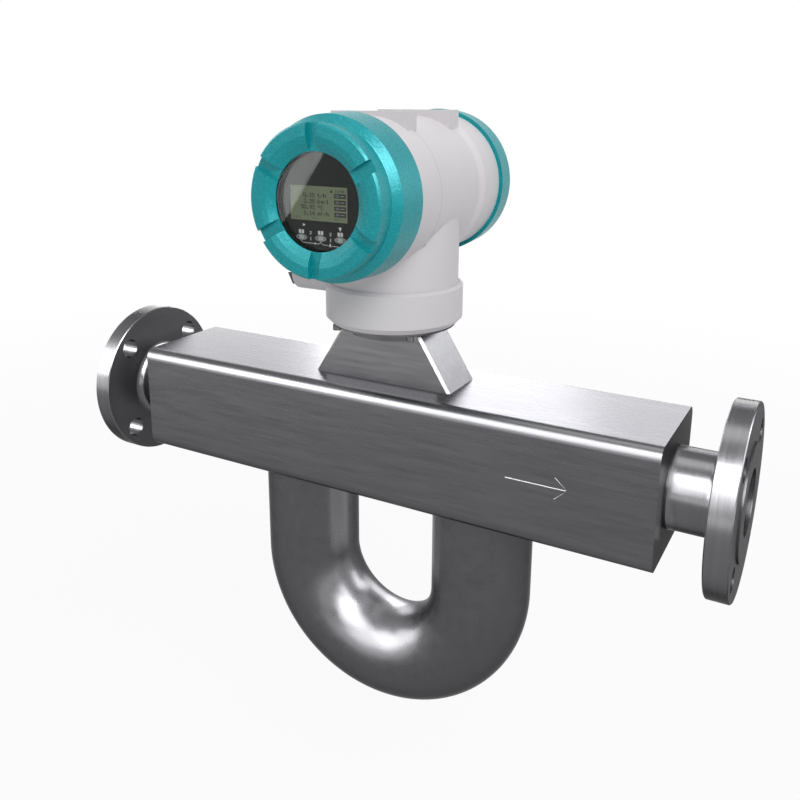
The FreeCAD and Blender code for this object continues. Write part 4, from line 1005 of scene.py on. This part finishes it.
@dataclass
class DisplayUnit:
    """Black display front with its screen, keys and printed symbols."""

    face: float = -112.7 * MM
    screen_face: float = -112.6 * MM
    # Places of the artwork are in millimetres from the head's axis, as the method at reads them.
    key_columns: tuple[float, ...] = (-17.5, 0.0, 17.5)
    key_level: float = -27.5
    tab_levels: tuple[float, ...] = (5.0, 0.3, -4.3, -8.9)
    leads: tuple[tuple[Point, ...], ...] = (
        ((-18.3, -30.2), (-16.4, -31.5), (-7.0, -31.6)),
        ((-4.0, -31.7), (-1.6, -31.8), (0.0, -30.3), (1.6, -32.0), (6.4, -32.2)),
        ((10.4, -32.4), (16.0, -32.6)),
    )

    def at(self, x: float, z: float) -> Point:
        """Turn a place on the display into the meter's frame."""
        return (MID + x * MM, HEAD_LEVEL + z * MM)

    def build(self) -> None:
        """Dress the display and print its artwork."""
        dress(Finish.HOOD, "display_hood")
        dress(Finish.SCREEN, "screen_panel")
        dress(Finish.KEY, "optical_keys")
        self.readings()
        self.tabs()
        self.symbols()
        self.key_rims()

    def readings(self) -> None:
        """Print the measured numbers on the screen."""
        art = Print(self.screen_face)
        rows = (
            (-14.9, 4.6, "0.15 t/h"),
            (-14.9, 0.1, "3.20 kg/l"),
            (-17.4, -4.3, "50.93 °C"),
            (-14.9, -8.9, "0.14 m³/h"),
        )
        for x, z, words in rows:
            art.text(words, *self.at(x, z - 1.6), 3.2 * MM, 2.55 * MM)
        for x in (-24.0, -7.0, 12.8):
            art.text("0.0 1", *self.at(x, -12.8), 1.3 * MM)
        art.triangle(*self.at(10.0, 8.3), 1.6 * MM, math.pi / 2)
        art.text("12:00", *self.at(13.2, 7.4), 2.0 * MM)
        art.finish("screen_digits", Finish.DARK_PRINT, "transmitter", "screen")

    def tabs(self) -> None:
        """Print the dark tabs at the screen's side, with their light numbers."""
        dark, light = Print(self.screen_face), Print(self.screen_face - INK)
        for number, z in enumerate(self.tab_levels, start=1):
            dark.rectangle(*self.at(17.6, z), 10.2 * MM, 3.3 * MM)
            light.text(f"0{number}", *self.at(14.0, z - 0.9), 1.8 * MM)
            light.rectangle(*self.at(19.6, z), 3.6 * MM, 0.6 * MM)
        dark.finish("screen_tabs", Finish.DARK_PRINT, "transmitter", "screen")
        light.finish("screen_tab_marks", Finish.GREY_PRINT, "transmitter", "screen")

    def symbols(self) -> None:
        """Print the white symbols round the keys."""
        art = Print(self.face)
        for x, z, size, degrees in (
            (-15.0, -18.0, 1.5, 0),
            (17.5, -19.2, 1.9, -90),
            (8.4, -31.9, 1.8, 90),
            (-5.4, -31.6, 1.4, 180),
        ):
            art.triangle(*self.at(x, z), size * MM, math.radians(degrees))
        for x in self.key_columns:
            for side in (-1, 1):
                art.rectangle(*self.at(x + side * 1.3, -23.2), 2.1 * MM, 2.9 * MM)
        for x in (-9.0, 8.9):
            for number, z in (("2", -24.9), ("1", -29.3)):
                art.text(number, *self.at(x - 0.9, z), 2.4 * MM)
        for lead in self.leads:
            for start, end in zip(lead, lead[1:]):
                art.line(self.at(*start), self.at(*end), 0.45 * MM)
        art.finish("key_symbols", Finish.WHITE, "transmitter", "black_plastic")

    def key_rims(self) -> None:
        """Print an eye-shaped field round each key, and the faint spot at the top."""
        rims, spot = Print(self.face), Print(self.face)
        for x in self.key_columns:
            rims.oval(*self.at(x, self.key_level), 10.2 * MM, 4.6 * MM, 0.62)
        rims.finish("key_rims", Finish.GREY_PRINT, "transmitter", "black_plastic")
        spot.oval(*self.at(-12.6, 28.0), 9.5 * MM, 5.6 * MM, 0.9)
        spot.finish("light_spot", Finish.FAINT_PRINT, "transmitter", "black_plastic")


@dataclass
class Head:
    """Transmitter housing with its electronics and terminals."""

    chip_rows: tuple[float, ...] = (-55.4 * MM, -19.4 * MM, 16.6 * MM)
    chip_reach: float = 38 * MM
    chip_pitch: Point = (9.5 * MM, 8.5 * MM)
    chip_lift: float = 0.9 * MM
    chip_share: float = 0.7
    smallest: Place = (2.2 * MM, 1.0 * MM, 1.8 * MM)
    largest: Place = (6.2 * MM, 2.0 * MM, 5.0 * MM)
    size_seed: int = 7
    place_seed: int = 11

    def build(self) -> None:
        """Dress the head's parts and fill its boards."""
        dress(Finish.GREY, "transmitter_housing")
        dress(Finish.PLUG, "front_entry_plug", "rear_entry_plug")
        dress(Finish.SCREW, "ground_screw")
        dress(Finish.BOARD, "display_board", "input_board", "main_board", "output_board")
        dress(Finish.BOARD, "terminal_board")
        dress(Finish.LUG, "display_posts", "board_spacers", "terminal_posts", "terminal_screws")
        dress(Finish.CASSETTE, "cassette_frame")
        dress(Finish.TERMINAL, "terminal_block")
        self.chips()

    def chips(self) -> None:
        """Set rows of small packages on the boards."""
        sizes = {"Smallest": self.smallest, "Largest": self.largest, "Seed": self.size_seed}
        pattern = Pattern("board_packages", sizes)
        given = pattern.given
        inputs = {0: given["Smallest"], 1: given["Largest"], "Seed": given["Seed"]}
        scale = pattern.first("FunctionNodeRandomValue", inputs, data_type="FLOAT_VECTOR")
        pattern.spread(pattern.first("MeshCube", {"Size": (1.0, 1.0, 1.0)}), Scale=scale)
        dice = random.Random(self.place_seed)
        steps = range(-3, 4)
        places = []
        for level, column, row in product(self.chip_rows, steps, steps):
            x, z = column * self.chip_pitch[0], row * self.chip_pitch[1]
            if math.hypot(x, z) < self.chip_reach and dice.random() < self.chip_share:
                places.append(Vector((MID + x, level + self.chip_lift, HEAD_LEVEL + z)))
        pattern.grow("board_packages", places, Finish.CHIP, "transmitter", "board")


@dataclass
class Covers:
    """Screwed covers with their gaskets, window and retaining ring."""

    def build(self) -> None:
        """Dress both covers."""
        dress(Finish.TEAL, "front_cover", "rear_cover")
        dress(Finish.WINDOW, "window_glass")
        dress(Finish.RING, "window_retainer")
        dress(Finish.RUBBER, "front_cover_gasket", "rear_cover_gasket")
        dress(Finish.SCREW, "front_lock_screw", "rear_lock_screw")


class Role(Enum):
    """What a soft lamp is for."""

    LIGHT = "lights every surface"
    SHINE = "shows in bare metal alone"
    SHEEN = "shows in flake paint alone"
    GLARE = "shows in the window alone"

    def receivers(self) -> bpy.types.Collection:
        """Collect the pieces that show this lamp.

        Returns:
            Their collection, which is made the first time.
        """
        label = self.name.lower() + "_receivers"
        found = bpy.data.collections.get(label)
        if found is None:
            found = bpy.data.collections.new(label)
            kind = {Role.SHINE: Metal, Role.SHEEN: FlakePaint, Role.GLARE: ClearGlass}[self]
            names = {finish.value.name for finish in Finish if isinstance(finish.value, kind)}
            for piece in bpy.context.scene.objects:
                if piece.type == "MESH" and names & {m.name for m in piece.data.materials if m}:
                    found.objects.link(piece)
        return found


@dataclass(frozen=True)
class SoftBox:
    """A soft lamp that shines on one spot and isn't seen itself."""

    name: str
    toward: Place
    away: float
    wide: float
    high: float
    strength: float
    spot: Place = (MID, 0.0, 50 * MM)
    turn: float = 0.0
    role: Role = Role.LIGHT

    def build(self) -> None:
        """Hang the lamp."""
        lamp = bpy.data.lights.new(self.name, "AREA")
        lamp.shape = "RECTANGLE"
        lamp.size, lamp.size_y = self.wide, self.high
        lamp.energy = self.strength * self.wide * self.high * LAMP_WATTS
        holder = in_scene(self.name, lamp)
        direction = Vector(self.toward).normalized()
        holder.location = Vector(self.spot) + direction * self.away
        facing = direction.to_track_quat("Z", "Y").to_matrix().to_4x4()
        facing = facing @ Matrix.Rotation(self.turn, 4, "Z")
        holder.rotation_euler = facing.to_euler()
        holder.visible_camera = False
        if self.role is not Role.LIGHT:
            holder.visible_diffuse = False
            holder.light_linking.receiver_collection = self.role.receivers()


@dataclass(frozen=True)
class Panel:
    """A distant reflector for glossy finishes, placed and sized by angles in degrees."""

    azimuth: float
    elevation: float
    spread: float
    rise: float
    strength: float
    role: Role = Role.SHINE
    away: float = 2.2
    spot: Place = (MID, 0.0, -20 * MM)

    def build(self, name: str) -> None:
        """Hang the reflector.

        Args:
            name: the lamp's name.
        """
        turn, lift = math.radians(self.azimuth), math.radians(self.elevation)
        level = math.cos(lift)
        toward = (level * math.cos(turn), level * math.sin(turn), math.sin(lift))
        wide = 2 * self.away * level * math.tan(math.radians(self.spread / 2))
        high = 2 * self.away * math.tan(math.radians(self.rise / 2))
        box = SoftBox(
            name, toward, self.away, wide, high, self.strength, spot=self.spot, role=self.role
        )
        box.build()


@dataclass(frozen=True)
class Card:
    """A small reflector close to the metal, which lifts what the metal mirrors of itself."""

    name: str
    back: Place
    place: Place
    wide: float
    high: float
    strength: float

    def build(self) -> None:
        """Hang the card."""
        name = "card_" + self.name
        size = self.wide, self.high
        SoftBox(name, self.back, 0.0, *size, self.strength, self.place, role=Role.SHINE).build()


@dataclass
class Studio:
    """Pale floor, soft light and the camera."""

    floor_level: float = -0.62
    floor_reach: float = 12.0
    fade: Point = (0.9, 3.2)
    eye: Place = (0.6655, -0.6406, 0.2928)
    yaw: float = 29.90
    pitch: float = 14.58
    roll: float = 0.06
    lens: float = 38.58
    shift: Point = (0.01625, -0.10125)
    soft_light: float = 0.45
    boxes: tuple[SoftBox, ...] = (
        SoftBox("key_lamp", (0.55, -0.55, 0.63), 2.2, 1.0, 1.0, 5.8),
        SoftBox("top_lamp", (-0.1, 0.1, 1.0), 2.2, 1.2, 0.8, 2.5),
        SoftBox(
            "window_shine",
            (-0.577, -0.810, -0.101),
            1.2,
            0.34,
            0.5,
            4.4,
            spot=(0.168, -0.039, 0.313),
            turn=-0.538,
            role=Role.GLARE,
        ),
    )
    panels: tuple[Panel, ...] = (
        Panel(-163, 12, 30, 32, 9.5),
        Panel(-134, 26, 30, 38, 14.0),
        Panel(-104, 33, 30, 48, 9.0),
        Panel(-60, 42, 60, 42, 14.0),
        Panel(-14, 36, 34, 42, 11.0),
        Panel(16, 25, 26, 38, 5.0),
        Panel(44, 28, 32, 16, 12.0),
        Panel(34, 12, 16, 18, 8.0),
        Panel(70, 18, 16, 22, 7.0),
        Panel(90, 19, 24, 26, 11.0),
        Panel(114, 18, 24, 28, 19.0),
        Panel(137, 15, 30, 30, 8.5),
        Panel(165, 14, 26, 32, 3.0),
        Panel(-116, -2, 60, 14, 2.2),
        Panel(-40, -4, 80, 16, 2.0),
        Panel(-120, 32, 60, 44, 2.0, Role.SHEEN),
        Panel(-40, 38, 80, 40, 5.4, Role.SHEEN),
        Panel(30, 20, 50, 30, 1.2, Role.SHEEN),
        Panel(165, 20, 60, 40, 1.8, Role.SHEEN),
    )
    cards: tuple[Card, ...] = (
        Card("loop_right", (1, 0, 0), (MID + 15 * MM, 0, -112 * MM), 84 * MM, 112 * MM, 1.5),
        Card("loop_left", (-1, 0, 0), (MID - 15 * MM, 0, -112 * MM), 84 * MM, 112 * MM, 1.2),
        Card("loop_top", (0, 0, 1), (MID, 0, -52 * MM), 88 * MM, 108 * MM, 1.8),
        Card("pedestal", (0, 1, 0), (MID, -25.6 * MM, 74 * MM), 112 * MM, 44 * MM, 1.6),
        Card("inlet_plate", (1, 0, 0), (54 * MM, 0, 0), 100 * MM, 92 * MM, 0.7),
        Card("outlet_plate", (-1, 0, 0), (555 * MM, 0, 0), 100 * MM, 92 * MM, 0.9),
        Card("outlet_neck", (0, 1, 0), (572 * MM, -34 * MM, 0), 34 * MM, 60 * MM, 1.1),
    )

    def build(self) -> None:
        """Set up the world, the floor, the lamps and the camera."""
        bpy.context.scene.view_settings.view_transform = "Standard"
        self.world()
        self.floor()
        self.lamps()
        self.camera()

    def world(self) -> None:
        """White surroundings to look at, and a plain soft light."""
        world = bpy.data.worlds.new("studio")
        bpy.context.scene.world = world
        world.use_nodes = True
        graph = Graph(world.node_tree)
        light = graph.tree.nodes["Background"].inputs
        graph.feed(light["Color"], (1.0, 1.0, 1.0))
        strength = graph.ramp(graph.seen_directly(), 0.0, 1.0, self.soft_light, 1.0)
        graph.feed(light["Strength"], strength)

    def floor(self) -> None:
        """Pale floor that looks white and keeps the meter's shadow."""
        n = Nodes("studio_floor")
        grain = n.first("TexNoise", {"Scale": 3.0})
        n.set(Base_Color=n.ramp(grain, 0.0, 1.0, 0.84, 0.86), Roughness=0.9)
        distance = n.add("VectorMath", {0: n.place}, operation="LENGTH").outputs["Value"]
        share = n.math("MULTIPLY", n.seen_directly(), n.ramp(distance, *self.fade, 0.9))
        n.blend(share, n.shader.outputs[0], n.first("Emission"))
        reach, level = self.floor_reach, self.floor_level
        mesh = bpy.data.meshes.new("floor")
        corners = [(-reach, -reach), (reach, -reach), (reach, reach), (-reach, reach)]
        mesh.from_pydata([(x, y, level) for x, y in corners], [], [(0, 1, 2, 3)])
        mesh.materials.append(n.material)
        in_scene("floor", mesh)

    def lamps(self) -> None:
        """Hang the soft lamps."""
        for box in self.boxes:
            box.build()
        for number, panel in enumerate(self.panels, start=1):
            panel.build(f"panel_{number}")
        for card in self.cards:
            card.build()

    def camera(self) -> None:
        """Place the camera where the photograph was taken from."""
        yaw, pitch, roll = (math.radians(a) for a in (self.yaw, self.pitch, self.roll))
        level = math.cos(pitch)
        ahead = Vector((-math.sin(yaw) * level, math.cos(yaw) * level, -math.sin(pitch)))
        right = Vector((math.cos(yaw), math.sin(yaw), 0.0))
        up = right.cross(ahead)
        right, up = (
            right * math.cos(roll) + up * math.sin(roll),
            up * math.cos(roll) - right * math.sin(roll),
        )
        lens = bpy.data.cameras.new("camera")
        lens.sensor_width = 36.0
        lens.lens = self.lens
        lens.shift_x, lens.shift_y = self.shift
        lens.clip_start, lens.clip_end = 0.01, 100.0
        camera = in_scene("camera", lens)
        turn = Matrix((right, up, -ahead)).transposed().to_4x4()
        camera.matrix_world = Matrix.Translation(Vector(self.eye)) @ turn
        bpy.context.scene.camera = camera


def main() -> None:
    """Build every sub-assembly, then the studio."""
    logging.basicConfig(level=logging.INFO, format="%(message)s")
    for part in (SensorShell(), MeasuringParts(), Swivel(), Head(), DisplayUnit(), Covers()):
        part.build()
        log.info("%s built", type(part).__name__)
    dressed = {name for name, node in frame["nodes"].items() if node.data.materials}
    log.info("dressed solids: %d of %d", len(dressed), len(frame["nodes"]))
    Studio().build()


if __name__ == "__main__":
    main()
